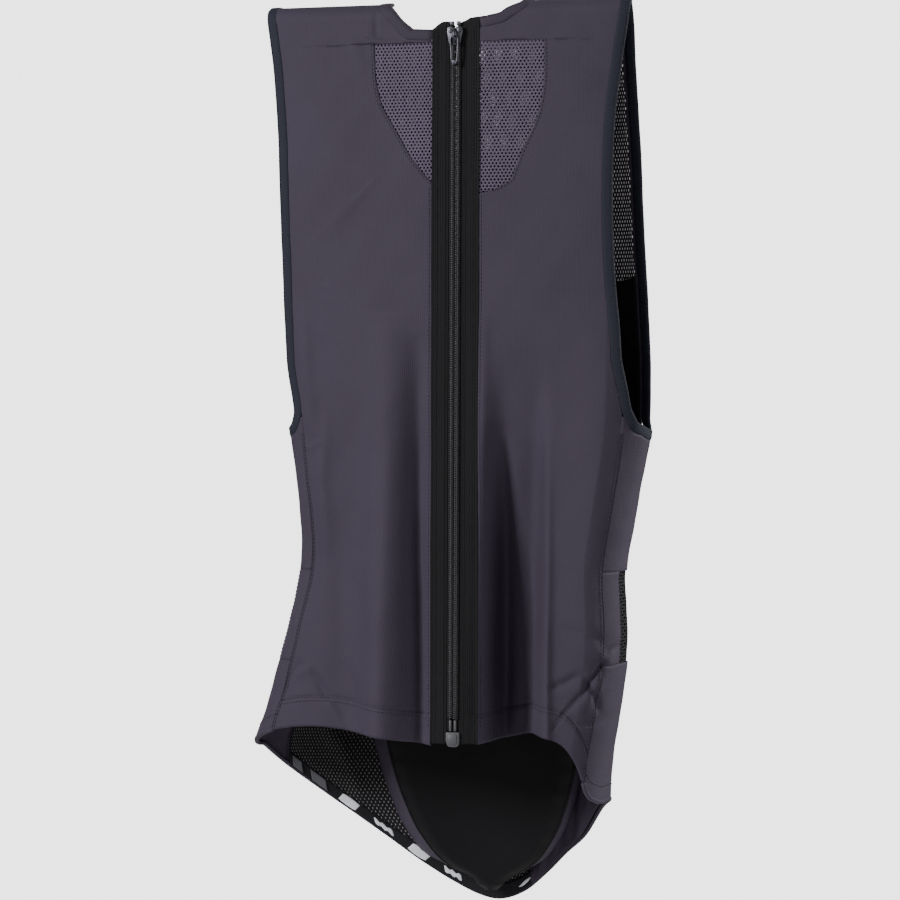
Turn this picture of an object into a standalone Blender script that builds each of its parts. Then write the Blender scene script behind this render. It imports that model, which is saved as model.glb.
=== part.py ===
"""Zip-front vest with a back protector pad in an inner pocket, as it hangs from its shoulders.

Metres, +Z up. The origin is on the shoulder fold, midway between the straps. The vest's front faces -Y and
the wearer's left is at +X. Heights are given as a drop below the shoulder fold. Places round the body are
given as an angle in degrees: 0 at the front zip, +90 at the wearer's left side, 180 at the spine.
"""

import math

import bmesh
import bpy
import numpy as np
from mathutils import Matrix, Vector

# Driving dimensions
ZIP_X = 0.016  # outer edge of each zip tape
ZIP_TOP = 0.0150  # drop of the zip's top end
ZIP_END = 0.5040  # drop of the tapes' lower end, where the box starts
STRAP_INNER = 0.050  # neck end of each shoulder strap
FOLD_TOP_X = 0.034  # the line where each front folds open: its distance from the zip at the shoulder
FOLD_HEM_X = 0.064  # and at the hem
FOLD_HEM_DROP = 0.512
FOLD_TOP_Y, FOLD_HEM_Y = -0.020, -0.025  # the folds' axes lie just in front of the cloth
SIDE_SEAM = 63.0  # angle of the seam between front and side panel
BACK_SEAM = 111.0  # angle of the seam between side and back panel
FRONT_ROUND = 0.012  # how far below the shoulder fold the front reaches its full depth
BACK_ROUND = 0.022
FRONT_DEPTH, FRONT_SLOPE = 0.018, 0.016  # the front's depth at the shoulder, and its growth with the drop
BACK_DEPTH, BACK_SLOPE = 0.017, 0.130  # the back's
BOXINESS = 0.55  # 1 gives elliptical sections, less gives flatter fronts and backs
CLOTH = 0.0012  # thickness of the stretch cloth
MESH_CLOTH = 0.0010
GAP = 0.0003  # between pieces that touch
LINING_GAP = 0.0010  # between the cloth and what lines it
SHOULDER_SLIT = 0.000030  # drop at which front and back stop, just short of the shoulder fold
HEM_DEPTH = 0.021  # height of the turned-up front hem
GRIP_TALL = 0.011  # height of the elastic tape inside the back hem
BINDING_RADIUS = 0.0024
BINDING_CLEAR = 3.5  # from an armhole binding's middle to the cloth's edge, in degrees
NECK_CLEAR = 0.0052  # from a neck binding's middle to the cloth's edge
VENT_TOP, VENT_END, VENT_EDGE = 0.3942, 0.4578, 90.4  # the mesh vent in each side, and its front edge's angle

# Half-width of the body at each drop. The vest hangs a little twisted, so its sides differ.
LEFT_WIDTH = (
    (0.0, 0.1300), (0.20, 0.1305), (0.26, 0.1310), (0.30, 0.1285), (0.35, 0.1175), (0.39, 0.1100),
    (0.44, 0.1110), (0.49, 0.1045), (0.52, 0.0990), (0.57, 0.0980), (0.64, 0.0980),
)
RIGHT_WIDTH = (
    (0.0, 0.147), (0.20, 0.141), (0.26, 0.133), (0.30, 0.127), (0.35, 0.1215), (0.39, 0.1205),
    (0.44, 0.132), (0.49, 0.147), (0.52, 0.157), (0.56, 0.154), (0.60, 0.138), (0.64, 0.125),
)
# Drop of the hem at each angle away from the zip.
LEFT_HEM = (
    (0, 0.515), (18, 0.510), (34, 0.507), (50, 0.515), (59, 0.530), (66, 0.546), (78, 0.553), (100, 0.556),
    (120, 0.565), (135, 0.586), (146, 0.598), (156, 0.612), (168, 0.627), (180, 0.633),
)
RIGHT_HEM = (
    (0, 0.515), (18, 0.509), (40, 0.503), (60, 0.506), (75, 0.512), (90, 0.520), (107, 0.533), (124, 0.552),
    (136, 0.570), (146, 0.588), (156, 0.606), (166, 0.621), (174, 0.630), (180, 0.633),
)
# Armhole edges at each drop: how far the front's stands from the middle, and the angle of the back's.
LEFT_ARMHOLE = ((0.0, 0.1185), (0.04, 0.1155), (0.08, 0.111), (0.13, 0.108), (0.18, 0.109), (0.25, 0.113))
RIGHT_ARMHOLE = ((0.0, 0.134), (0.04, 0.129), (0.08, 0.126), (0.13, 0.1240), (0.20, 0.122), (0.25, 0.121))
BACK_ARMHOLE = ((0.0, 117.0), (0.13, 114.0), (0.22, 112.0), (0.29, BACK_SEAM))
ARMHOLES = {1: LEFT_ARMHOLE, -1: RIGHT_ARMHOLE}
CORNER_TOP, CORNER_END = 0.25, 0.286  # where the armhole's front edge turns in to the side seam
ARMHOLE_BOTTOM = ((SIDE_SEAM, 0.286), (68, 0.294), (80, 0.299), (95, 0.302), (104, 0.301), (BACK_SEAM, 0.292))
# The neckline's distance from the middle at each drop. It sags further on the wearer's right.
LEFT_NECK = ((0.0, STRAP_INNER), (0.0045, 0.0455), (0.0095, 0.0385), (0.0138, 0.0300), (0.0152, 0.0225))
RIGHT_NECK = ((0.0, STRAP_INNER), (0.0045, 0.0462), (0.0121, 0.0389), (0.0185, 0.0320), (0.0208, 0.0225))
NECKS = {1: LEFT_NECK, -1: RIGHT_NECK}
NECK_BACK = ((0.0, STRAP_INNER), (0.006, 0.043), (0.012, 0.032), (0.016, 0.017), (0.017, 0.001))
INSERT_EDGE = (
    (0.0, 0.0592), (0.025, 0.0592), (0.055, 0.0585), (0.075, 0.050), (0.095, 0.038), (0.115, 0.022)
)
INSERT_END = 0.121
NECK_SPLITS = {1: 0.0123, -1: 0.0173}  # drop at which each fold crosses the neck binding
INSERT_CROSS = 0.1010  # drop at which the fold crosses the insert's edge
SEAM = 0.5  # half the width of a seam's gap, in degrees

# Protector pad. Its sections are all alike along its length, so that it slides out of its pocket.
PAD_TOP = 0.112
PAD_END = 0.615
PAD_WIDTH = (
    (0.112, 0.030), (0.118, 0.045), (0.135, 0.058), (0.19, 0.070), (0.27, 0.075), (0.36, 0.074),
    (0.44, 0.071), (0.53, 0.067), (0.560, 0.058), (0.585, 0.046), (0.604, 0.029), (0.615, 0.010),
)
PAD_BEND = 2.00  # its sections are parabolas, this much in y for each square metre in x
PAD_BACKSET = 0.0052  # from the back panel's centre to the pad
PAD_LAYERS = (("pad_outer_layer", 0.0040), ("pad_impact_core", 0.0085), ("pad_comfort_layer", 0.0030))
PAD_PLAY = 0.0018  # room for the hook and loop strips on each side of the pad
POCKET_MARGIN = 0.004
POCKET_TOP = 0.104
POCKET_STITCHED = 0.30  # the pocket's edges are stitched down to here, and open below
POCKET_END = 0.622

# Zip: the coils stand on the tapes' outer faces.
TAPE_THICK = 0.0008
TAPE_INNER = 0.0010
COIL_INNER, COIL_OUTER, COIL_HIGH = 0.0008, 0.0038, 0.0019
SLIDER_TOP, SLIDER_LONG, SLIDER_WIDE = 0.0190, 0.0130, 0.0112
SLIDER_PLATE, SLIDER_PLAY = 0.0012, 0.0004
BAIL_WIDE, BAIL_HIGH, BAIL_THICK = 0.0018, 0.0020, 0.0010
PULL_PIVOT = 0.0260  # drop of the pull's hinge
PULL_LONG, PULL_WIDE, PULL_THICK = 0.0198, 0.0060, 0.0012
PULL_TIP = 0.0022  # height of the bar that joins the pull's two arms
PIN_LONG = 0.0080
BOX_LONG, BOX_WIDE, BOX_THICK = 0.0100, 0.0096, 0.0042

MATERIALS = {
    "shell_cloth": ((0.075, 0.065, 0.090), 0.80, 0.0),
    "mesh_cloth": ((0.045, 0.040, 0.052), 0.85, 0.0),
    "lining": ((0.012, 0.012, 0.013), 0.85, 0.0),
    "binding": ((0.022, 0.022, 0.030), 0.75, 0.0),
    "zip_tape": ((0.016, 0.016, 0.017), 0.80, 0.0),
    "zip_coil": ((0.025, 0.025, 0.027), 0.35, 0.0),
    "zip_metal": ((0.060, 0.060, 0.068), 0.30, 0.8),
    "zip_plastic": ((0.160, 0.160, 0.175), 0.45, 0.0),
    "pocket_cloth": ((0.010, 0.010, 0.011), 0.55, 0.0),
    "grip_tape": ((0.014, 0.014, 0.018), 0.70, 0.0),
    "grip_silicone": ((0.780, 0.790, 0.860), 0.40, 0.0),
    "label": ((0.180, 0.180, 0.200), 0.70, 0.0),
    "pad_foam": ((0.030, 0.030, 0.034), 0.90, 0.0),
    "pad_core": ((0.160, 0.100, 0.030), 0.70, 0.0),
}


def clear_scene():
    for obj in list(bpy.data.objects):
        bpy.data.objects.remove(obj, do_unlink=True)


def material(name):
    found = bpy.data.materials.get(name)
    if found:
        return found
    colour, roughness, metallic = MATERIALS[name]
    made = bpy.data.materials.new(name)
    made.use_nodes = True
    shader = made.node_tree.nodes["Principled BSDF"]
    shader.inputs["Base Color"].default_value = (*colour, 1.0)
    shader.inputs["Roughness"].default_value = roughness
    shader.inputs["Metallic"].default_value = metallic
    return made


def collection(name):
    made = bpy.data.collections.new(name)
    bpy.context.scene.collection.children.link(made)
    return made


def through(stations, at):
    """A smooth curve through (place, value) stations, level beyond both ends."""
    places = np.array([s[0] for s in stations], float)
    values = np.array([s[1] for s in stations], float)
    slopes = np.gradient(values, places)
    slopes[0] = slopes[-1] = 0.0
    at = np.clip(np.asarray(at, float), places[0], places[-1])
    k = np.clip(np.searchsorted(places, at, side="right") - 1, 0, len(places) - 2)
    span = places[k + 1] - places[k]
    t = (at - places[k]) / span
    return (
        (2 * t**3 - 3 * t**2 + 1) * values[k]
        + (t**3 - 2 * t**2 + t) * span * slopes[k]
        + (3 * t**2 - 2 * t**3) * values[k + 1]
        + (t**3 - t**2) * span * slopes[k + 1]
    )


def rounded(drop, radius):
    """0 at the shoulder fold and 1 from one radius below it, as a quarter circle rises."""
    share = np.clip(np.asarray(drop, float) / radius, 0.0, 1.0)
    return np.sqrt(1.0 - (1.0 - share) ** 2)


def front_depth(drop):
    """How far the front's centre stands in front of the shoulder fold."""
    return (FRONT_DEPTH + FRONT_SLOPE * np.asarray(drop, float)) * rounded(drop, FRONT_ROUND)


def back_depth(drop):
    """How far the back's centre stands behind the shoulder fold."""
    return (BACK_DEPTH + BACK_SLOPE * np.asarray(drop, float)) * rounded(drop, BACK_ROUND)


def half_width(side, drop):
    return np.where(np.asarray(side) < 0, through(RIGHT_WIDTH, drop), through(LEFT_WIDTH, drop))


def torso(angle, drop):
    """A point on the vest's outer surface."""
    angle, drop = np.broadcast_arrays(np.asarray(angle, float), np.asarray(drop, float))
    turned = np.radians(angle)
    front, back = front_depth(drop), back_depth(drop)
    side = (back - front) / 2
    flat = np.abs(np.cos(turned)) ** BOXINESS
    y = np.where(np.cos(turned) >= 0, side - (front + side) * flat, side + (back - side) * flat)
    return np.stack([half_width(np.sin(turned), drop) * np.sin(turned), y, -drop], axis=-1)


def inwards(surface, first, second, step=(0.25, 0.0005)):
    """Unit vectors that point into the vest, square to surface(first, second)."""
    across = surface(first + step[0], second) - surface(first - step[0], second)
    down = surface(first, second + step[1]) - surface(first, second - step[1])
    square = np.cross(across, down)
    return square / np.linalg.norm(square, axis=-1, keepdims=True)


def angle_at(x, drop, back=False):
    """The angle of the point of the torso that is x from the middle."""
    share = np.clip(np.abs(x) / half_width(np.sign(x), drop), 0.0, 1.0)
    angle = np.degrees(np.arcsin(share))
    return np.sign(x) * (180.0 - angle if back else angle)


def hem(angle):
    angle = np.asarray(angle, float)
    return np.where(angle < 0, through(RIGHT_HEM, np.abs(angle)), through(LEFT_HEM, np.abs(angle)))


def fold_x(drop):
    return FOLD_TOP_X + (FOLD_HEM_X - FOLD_TOP_X) * np.asarray(drop, float) / FOLD_HEM_DROP


def finish(obj, material_name, smooth=True):
    obj.data.materials.clear()
    obj.data.materials.append(material(material_name))
    if smooth and obj.type == "MESH":
        obj.data.shade_smooth()
    return obj


def sheet(name, points, material_name, thickness):
    """A cloth piece: a grid of points on its outer face, given thickness inwards."""
    rows, columns = points.shape[:2]
    corner = [[i * columns + j for j in range(columns)] for i in range(rows)]
    faces = [
        (corner[i][j], corner[i + 1][j], corner[i + 1][j + 1], corner[i][j + 1])
        for i in range(rows - 1)
        for j in range(columns - 1)
    ]
    data = bpy.data.meshes.new(name)
    data.from_pydata(points.reshape(-1, 3).tolist(), [], faces)
    obj = bpy.data.objects.new(name, data)
    VEST.objects.link(obj)
    solidify = obj.modifiers.new("cloth", "SOLIDIFY")
    solidify.thickness = thickness
    solidify.offset = -1.0
    return finish(obj, material_name)


def patch(edges, top, bottom, rows, columns, inset=0.0, ease_top=False):
    """Points on the torso between two edges, as angles at a drop, and a top and bottom, as drops at an angle."""
    down = np.linspace(0, 1, rows)[:, None]
    if ease_top:
        down = down**1.7
    shares = np.linspace(0, 1, columns) if isinstance(columns, int) else np.asarray(columns)
    across = shares[None, :]
    zip_side = np.zeros((1, 1))
    drop = top(zip_side) + (bottom(zip_side) - top(zip_side)) * down + 0 * across
    for _ in range(30):
        first, last = edges(drop)
        angle = first + (last - first) * across
        drop = 0.5 * drop + 0.5 * (top(angle) + (bottom(angle) - top(angle)) * down)
    points = torso(angle, drop)
    if inset:
        points = points + inset * inwards(torso, angle, drop)
    return points


def level(drop):
    return lambda angle: drop + 0.0 * angle


def mirrored_edges(side, inner, outer):
    """Edges of a piece on one side, in order of growing angle."""
    if side > 0:
        return lambda drop: (inner(drop), outer(drop))
    return lambda drop: (-outer(drop), -inner(drop))


def on_side(side, edge):
    """An edge given by its distance from the middle, as a positive angle on that side."""
    return lambda drop: np.abs(angle_at(side * edge(drop), drop))


def side_name(side):
    return "left" if side > 0 else "right"


def tube(name, path, radius, material_name, sides=2):
    """A round cord of cloth along a path."""
    data = bpy.data.curves.new(name, "CURVE")
    data.dimensions = "3D"
    data.bevel_depth = radius
    data.bevel_resolution = sides
    data.use_fill_caps = True
    spline = data.splines.new("POLY")
    spline.points.add(len(path) - 1)
    for point, place in zip(spline.points, path):
        point.co = (*place, 1.0)
    obj = bpy.data.objects.new(name, data)
    VEST.objects.link(obj)
    return finish(obj, material_name)


def evenly(path, spacing):
    """The path's points read again at even spacing."""
    path = np.asarray(path, float)
    length = np.concatenate([[0], np.cumsum(np.linalg.norm(np.diff(path, axis=0), axis=1))])
    count = max(4, int(round(length[-1] / spacing)) + 1)
    at = np.linspace(0, length[-1], count)
    return np.stack([np.interp(at, length, path[:, k]) for k in range(3)], axis=1)


def box(name, low, high, material_name, bevel=0.0):
    """A box between two corners, given in the zip's own frame: x, outwards, down."""
    mesh = bmesh.new()
    bmesh.ops.create_cube(mesh, size=1.0)
    low, high = Vector(low), Vector(high)
    size, middle = high - low, (high + low) / 2
    placed = Matrix.Translation(middle) @ Matrix.Diagonal((*size, 1))
    bmesh.ops.transform(mesh, matrix=placed, verts=mesh.verts)
    bmesh.ops.transform(mesh, matrix=ZIP_FRAME, verts=mesh.verts)
    bmesh.ops.recalc_face_normals(mesh, faces=mesh.faces)
    data = bpy.data.meshes.new(name)
    mesh.to_mesh(data)
    mesh.free()
    obj = bpy.data.objects.new(name, data)
    VEST.objects.link(obj)
    if bevel:
        round_edges(obj, bevel)
    return finish(obj, material_name, smooth=False)


def round_edges(obj, width):
    bevel = obj.modifiers.new("rounded", "BEVEL")
    bevel.width = width
    bevel.segments = 1
    bevel.limit_method = "ANGLE"


def as_helper(obj):
    VEST.objects.unlink(obj)
    HELPERS.objects.link(obj)
    obj.hide_render = True
    obj.display_type = "WIRE"
    return obj


def combine(obj, others, operation):
    for other in others:
        cut = obj.modifiers.new(other.name, "BOOLEAN")
        cut.operation = operation
        cut.object = as_helper(other)
    return obj


def armhole_front(side, drop):
    """The armhole's front edge as an angle, which ends on the side seam."""
    drop = np.asarray(drop, float)
    upper = np.abs(angle_at(side * through(ARMHOLES[side], drop), drop))
    last = float(np.abs(angle_at(side * ARMHOLES[side][-1][1], CORNER_TOP)))
    return np.where(drop < CORNER_TOP, upper, np.interp(drop, (CORNER_TOP, CORNER_END), (last, SIDE_SEAM)))


def front_seam(side, drop):
    """The front panel's outer edge as an angle: beside the armhole's binding, then down the side seam."""
    beside = armhole_front(side, drop) - BINDING_CLEAR
    on_seam = np.clip((np.asarray(drop, float) - 0.292) / 0.035, 0, 1)
    return beside * (1 - on_seam) + SIDE_SEAM * on_seam


def back_seam(drop):
    """The back panel's outer edge as an angle: beside the armhole's binding, then down the back seam."""
    beside = through(BACK_ARMHOLE, drop) + BINDING_CLEAR
    on_seam = np.clip((np.asarray(drop, float) - 0.297) / 0.040, 0, 1)
    return beside * (1 - on_seam) + BACK_SEAM * on_seam


def front_pieces(side):
    """One half of the front: the strap and armhole side stay put, the rest folds open."""
    name = side_name(side)
    fold = on_side(side, fold_x)
    insert = on_side(side, lambda drop: np.maximum(through(INSERT_EDGE, drop), ZIP_X + GAP))
    tape = on_side(side, lambda drop: ZIP_X + GAP + 0 * drop)

    def strap_inner(drop):
        return np.maximum(np.where(drop < INSERT_END, insert(drop) + SEAM, 0.0), fold(drop) + SEAM)

    def panel_inner(drop):
        seam = np.where(drop < INSERT_END, insert(drop) + SEAM, tape(drop))
        return np.minimum(np.maximum(seam, tape(drop)), fold(drop) - 1.0)

    outer = mirrored_edges(side, strap_inner, lambda d: front_seam(side, d) - SEAM)
    points = patch(outer, level(SHOULDER_SLIT), hem, 32, 9, ease_top=True)
    sheet(f"front_side_{name}", points, "shell_cloth", CLOTH)
    inner = mirrored_edges(side, panel_inner, lambda d: fold(d) - SEAM)
    points = patch(inner, level(INSERT_CROSS), hem, 26, 6, ease_top=True)
    front = [sheet(f"front_panel_{name}", points, "shell_cloth", CLOTH)]
    neckline, split = NECKS[side], NECK_SPLITS[side]
    lowest = neckline[-1][0]

    def neck_x(drop):
        """The inner edge of the mesh: beside the neck binding, then along the zip's tape."""
        beside = through(neckline, drop) + NECK_CLEAR
        below = np.clip((drop - lowest - 0.0035) / 0.004, 0, 1)
        return beside * (1 - below) + (ZIP_X + GAP) * below

    neck = on_side(side, neck_x)
    moving = mirrored_edges(side, neck, lambda d: np.minimum(insert(d), fold(d)) - SEAM)
    points = patch(moving, level(split + 0.0055), level(0.1180), 16, 5, ease_top=True)
    front.append(sheet(f"neck_mesh_{name}", points, "mesh_cloth", MESH_CLOTH))
    fixed = mirrored_edges(side, lambda d: np.maximum(neck(d), fold(d)) + SEAM, lambda d: insert(d) - SEAM)
    points = patch(fixed, level(SHOULDER_SLIT), level(INSERT_CROSS - 0.004), 14, 5, ease_top=True)
    sheet(f"neck_mesh_outer_{name}", points, "mesh_cloth", MESH_CLOTH)
    turned_up = mirrored_edges(side, lambda d: tape(d) + 1.0, lambda d: fold(d) - 0.8)
    points = patch(
        turned_up, lambda a: hem(a) - HEM_DEPTH, lambda a: hem(a) - 0.0006, 3, 6, inset=CLOTH + LINING_GAP
    )
    front.append(sheet(f"hem_facing_{name}", points, "shell_cloth", CLOTH))
    path = [torso(angle_at(side * x, d), d) for d, x in dense(neckline, split + GAP, lowest)]
    front.append(tube(f"neck_binding_{name}", evenly(path, 0.0050), BINDING_RADIUS, "binding", sides=1))
    return front


def dense(stations, first, last, count=60):
    """(place, value) pairs along a curve, close together near the shoulder fold."""
    places = first + (last - first) * np.linspace(0, 1, count) ** 2
    return list(zip(places, through(stations, places)))


def side_pieces(side):
    """The cloth under one arm: a side panel, a mesh vent beside a strip of cloth, and the hem corner."""
    name = side_name(side)
    from_front = lambda d: front_seam(side, d) + SEAM
    to_back = lambda d: back_seam(d) - SEAM
    under_arm = lambda a: through(ARMHOLE_BOTTOM, np.abs(a)) + BINDING_RADIUS + 5 * GAP
    whole = mirrored_edges(side, from_front, to_back)
    rear = mirrored_edges(side, lambda d: VENT_EDGE + SEAM + 0 * d, to_back)
    forward = mirrored_edges(side, from_front, lambda d: VENT_EDGE - SEAM + 0 * d)
    above, below = level(VENT_TOP - GAP), level(VENT_END + GAP)
    sheet(f"side_panel_{name}", patch(whole, under_arm, above, 8, 9), "shell_cloth", CLOTH)
    sheet(f"side_vent_{name}", patch(rear, level(VENT_TOP), level(VENT_END), 5, 5), "mesh_cloth", MESH_CLOTH)
    sheet(f"side_strip_{name}", patch(forward, level(VENT_TOP), level(VENT_END), 5, 6), "shell_cloth", CLOTH)
    sheet(f"side_hem_{name}", patch(whole, below, hem, 7, 9), "shell_cloth", CLOTH)
    front_drops = SHOULDER_SLIT + CORNER_END * np.linspace(0, 1, 60) ** 2
    back_drops = SHOULDER_SLIT + 0.285 * np.linspace(1, 0, 50) ** 2
    front = [(float(armhole_front(side, d)), d) for d in front_drops]
    under = [(a, float(through(ARMHOLE_BOTTOM, a))) for a in np.linspace(SIDE_SEAM + 1, BACK_SEAM, 24)]
    behind = [(float(through(BACK_ARMHOLE, d)), d) for d in back_drops]
    path = [torso(side * a, d) for a, d in front + under + behind]
    tube(f"armhole_binding_{name}", evenly(path, 0.012), BINDING_RADIUS, "binding", sides=1)


def back_pieces():
    """The back panel, and the lining that the pocket is sewn to."""

    def edges(drop):
        return back_seam(drop) + SEAM, 360.0 - back_seam(drop) - SEAM

    def inner_edges(drop):
        return back_seam(drop) + 3 * SEAM, 360.0 - back_seam(drop) - 3 * SEAM

    def whole_hem(angle):
        return hem(np.where(angle > 180, angle - 360, angle))

    neck_end = STRAP_INNER + BINDING_RADIUS + 2 * GAP

    def neckline(angle):
        """The drop of the back neckline's cloth at each angle."""
        x = np.abs(half_width(1, 0.0) * np.sin(np.radians(angle)))
        stations = sorted((place, drop) for drop, place in NECK_BACK)
        return np.where(x < neck_end, through(stations, x) + NECK_CLEAR, SHOULDER_SLIT)

    first, last = edges(0.0)
    corners = [float(angle_at(neck_end + off, 0.0, back=True)) for off in (0.0005, -0.0005)]
    beside_neck = [(angle - float(first)) / float(last - first) for angle in corners]
    beside_neck += [1 - share for share in beside_neck]
    columns = np.sort(np.concatenate([np.linspace(0, 1, 20), beside_neck]))
    points = patch(edges, neckline, whole_hem, 30, columns, ease_top=True)
    sheet("back_panel", points, "shell_cloth", CLOTH)
    inset = CLOTH + LINING_GAP
    above_tape = lambda a: whole_hem(a) - GRIP_TALL - 2 * GAP
    for name, top, bottom, rows, slot in (
        ("lining_yoke_mesh", level(0.030), level(0.205), 8, "mesh_cloth"),
        ("lining_mid_panel", level(0.2056), level(0.330), 6, "lining"),
        ("lining_lower_mesh", level(0.3306), above_tape, 10, "mesh_cloth"),
    ):
        sheet(name, patch(inner_edges, top, bottom, rows, 20, inset=inset), slot, MESH_CLOTH)
    around = lambda d: (BACK_SEAM + 1.2 + 0 * d, 358.8 - BACK_SEAM + 0 * d)
    points = patch(
        around, lambda a: whole_hem(a) - GRIP_TALL, lambda a: whole_hem(a) - 0.0006, 3, 26, inset=inset
    )
    sheet("hem_grip_tape", points, "grip_tape", MESH_CLOTH)
    path = []
    for side in (1, -1):
        front = dense(NECKS[side], 0.0, NECK_SPLITS[side] - GAP)[::-1]
        behind = dense(NECK_BACK, SHOULDER_SLIT, 0.017)
        half = [torso(angle_at(side * x, d), d) for d, x in front]
        half += [torso(angle_at(side * x, d, back=True), d) for d, x in behind]
        path += half[::side]
    tube("neck_binding_back", evenly(path, 0.007), BINDING_RADIUS, "binding", sides=1)


def grip_prints():
    """Raised silicone dashes on the hem tape, which keep the hem from riding up."""
    inset = CLOTH + LINING_GAP + MESH_CLOTH + GAP
    for number, angle in enumerate((-166, -156, -146, -136, 166, 156, 146), start=1):
        half = 2.6
        turn = lambda a: np.where(a > 180, a - 360, a)
        points = patch(
            lambda d, a=angle: (a - half + 0 * d, a + half + 0 * d),
            lambda a: hem(turn(a)) - 0.0085,
            lambda a: hem(turn(a)) - 0.0030,
            2,
            4,
            inset=inset,
        )
        sheet(f"grip_print_{number}", points, "grip_silicone", 0.0005)


def hem_labels():
    """Two blank folded label tabs on the hem tape."""
    inset = CLOTH + LINING_GAP + MESH_CLOTH + GAP
    for number, (first, last) in enumerate(((-118.5, -113.5), (-128.5, -122.5)), start=1):
        edges = lambda d, first=first, last=last: (first + 0 * d, last + 0 * d)
        points = patch(edges, lambda a: hem(a) - 0.0100, lambda a: hem(a) - 0.0020, 2, 3, inset=inset)
        sheet(f"hem_label_{number}", points, "label", 0.0008)


def pad_face(x, drop):
    """A point on the pad's outer face."""
    x, drop = np.broadcast_arrays(np.asarray(x, float), np.asarray(drop, float))
    y = BACK_DEPTH + BACK_SLOPE * drop - PAD_BACKSET - PAD_BEND * x**2
    return np.stack([x, y, -drop], axis=-1)


def pad_inwards(x, drop):
    """Towards the wearer, square to the pad's faces."""
    return -inwards(pad_face, x, drop, step=(0.0005, 0.0005))


def pad_sheet(name, width, top, end, rows, columns, depth, thickness, slot, shift=0.0):
    """A layer as wide as width(drop) on each side of the spine, depth in from the pad's outer face."""
    at = (1 - np.cos(np.linspace(0, math.pi, rows))) / 2
    drop = (top + (end - top) * at)[:, None] + np.zeros((1, columns))
    x = -np.linspace(-1, 1, columns)[None, :] * width(drop) + shift
    return sheet(name, pad_face(x, drop) + depth * pad_inwards(x, drop), slot, thickness)


def pad_pieces():
    depth = 0.0
    slots = {"pad_outer_layer": "pad_foam", "pad_impact_core": "pad_core", "pad_comfort_layer": "pad_foam"}
    for name, thickness in PAD_LAYERS:
        layer = pad_sheet(
            name, lambda d: through(PAD_WIDTH, d), PAD_TOP, PAD_END, 19, 9, depth, thickness, slots[name]
        )
        if name == "pad_impact_core":
            combine(layer, vent_holes(), "DIFFERENCE")
        depth += thickness + GAP


def vent_holes():
    """Cutters for the holes through the core, which let air and sweat through."""
    cutters = []
    for row in range(9):
        for column in (-1, 0, 1):
            drop = 0.165 + 0.048 * row
            x = 0.036 * column
            mesh = bmesh.new()
            bmesh.ops.create_cone(
                mesh, cap_ends=True, segments=6, radius1=0.0055, radius2=0.0055, depth=0.040
            )
            data = bpy.data.meshes.new(f"vent_{row}_{column}")
            mesh.to_mesh(data)
            mesh.free()
            cutter = bpy.data.objects.new(data.name, data)
            VEST.objects.link(cutter)
            cutter.location = Vector(pad_face(x, drop).tolist())
            cutter.rotation_euler = (math.radians(90), 0, 0)
            cutters.append(cutter)
    return cutters


def pad_total():
    return sum(t for _, t in PAD_LAYERS) + GAP * (len(PAD_LAYERS) - 1)


def pocket_pieces():
    """The pocket's inner cover: its upper edges turn back to the lining, its lower edges are open."""
    columns = 11
    rows = 25
    face_depth = pad_total() + PAD_PLAY
    points = np.zeros((rows, columns + 4, 3))
    for row, drop in enumerate(np.linspace(POCKET_TOP, POCKET_END, rows)):
        width = float(through(PAD_WIDTH, max(drop, PAD_TOP + 0.008))) + POCKET_MARGIN
        if drop > PAD_END:
            width = 0.012
        x = width * np.linspace(1, -1, columns)
        face = pad_face(x, drop) + face_depth * pad_inwards(x, np.full(columns, drop))
        points[row, 2 : columns + 2] = face
        for k, share in ((1, 0.45), (0, 0.86)):
            back = share * (face_depth + 0.0010) if drop < POCKET_STITCHED else 0.0
            out = 0.0012 * (2 - k)
            points[row, k] = face[0] + np.array([out, back, 0.0])
            points[row, columns + 3 - k] = face[-1] + np.array([-out, back, 0.0])
    sheet("pad_pocket_cover", points, "pocket_cloth", MESH_CLOTH)
    pad_sheet("pocket_hook_strip", lambda d: 0.016 + 0 * d, 0.588, 0.600, 3, 4,
              pad_total() + 0.0003, 0.0010, "binding")
    pad_sheet("pocket_loop_strip", lambda d: 0.016 + 0 * d, 0.588, 0.600, 3, 4,
              -0.0013, 0.0010, "binding")


def shoulder_tapes():
    """Flat tapes inside the shoulder seams, which keep them from stretching. A hanger's arms bear on them."""
    for side in (1, -1):
        middle = side * (STRAP_INNER + ARMHOLES[side][0][1]) / 2
        half = 0.030
        mesh = bmesh.new()
        bmesh.ops.create_cube(mesh, size=1.0)
        scale = Matrix.Diagonal((2 * half, 0.0040, 0.0010, 1))
        bmesh.ops.transform(mesh, matrix=Matrix.Translation((middle, 0, -0.0036)) @ scale, verts=mesh.verts)
        data = bpy.data.meshes.new(f"shoulder_tape_{side_name(side)}")
        mesh.to_mesh(data)
        mesh.free()
        obj = bpy.data.objects.new(data.name, data)
        VEST.objects.link(obj)
        finish(obj, "lining", smooth=False)


def zip_frame():
    """The zip's frame: x across, y outwards from the tapes' faces, z down the zip from the shoulders' level."""
    down = Vector((0, -FRONT_SLOPE, -1)).normalized()
    outwards = Vector((0, -1, FRONT_SLOPE)).normalized()
    across = outwards.cross(down)
    start = Vector((0, -FRONT_DEPTH, 0))
    turned = Matrix((across, outwards, down)).transposed().to_4x4()
    return Matrix.Translation(start) @ turned


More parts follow.
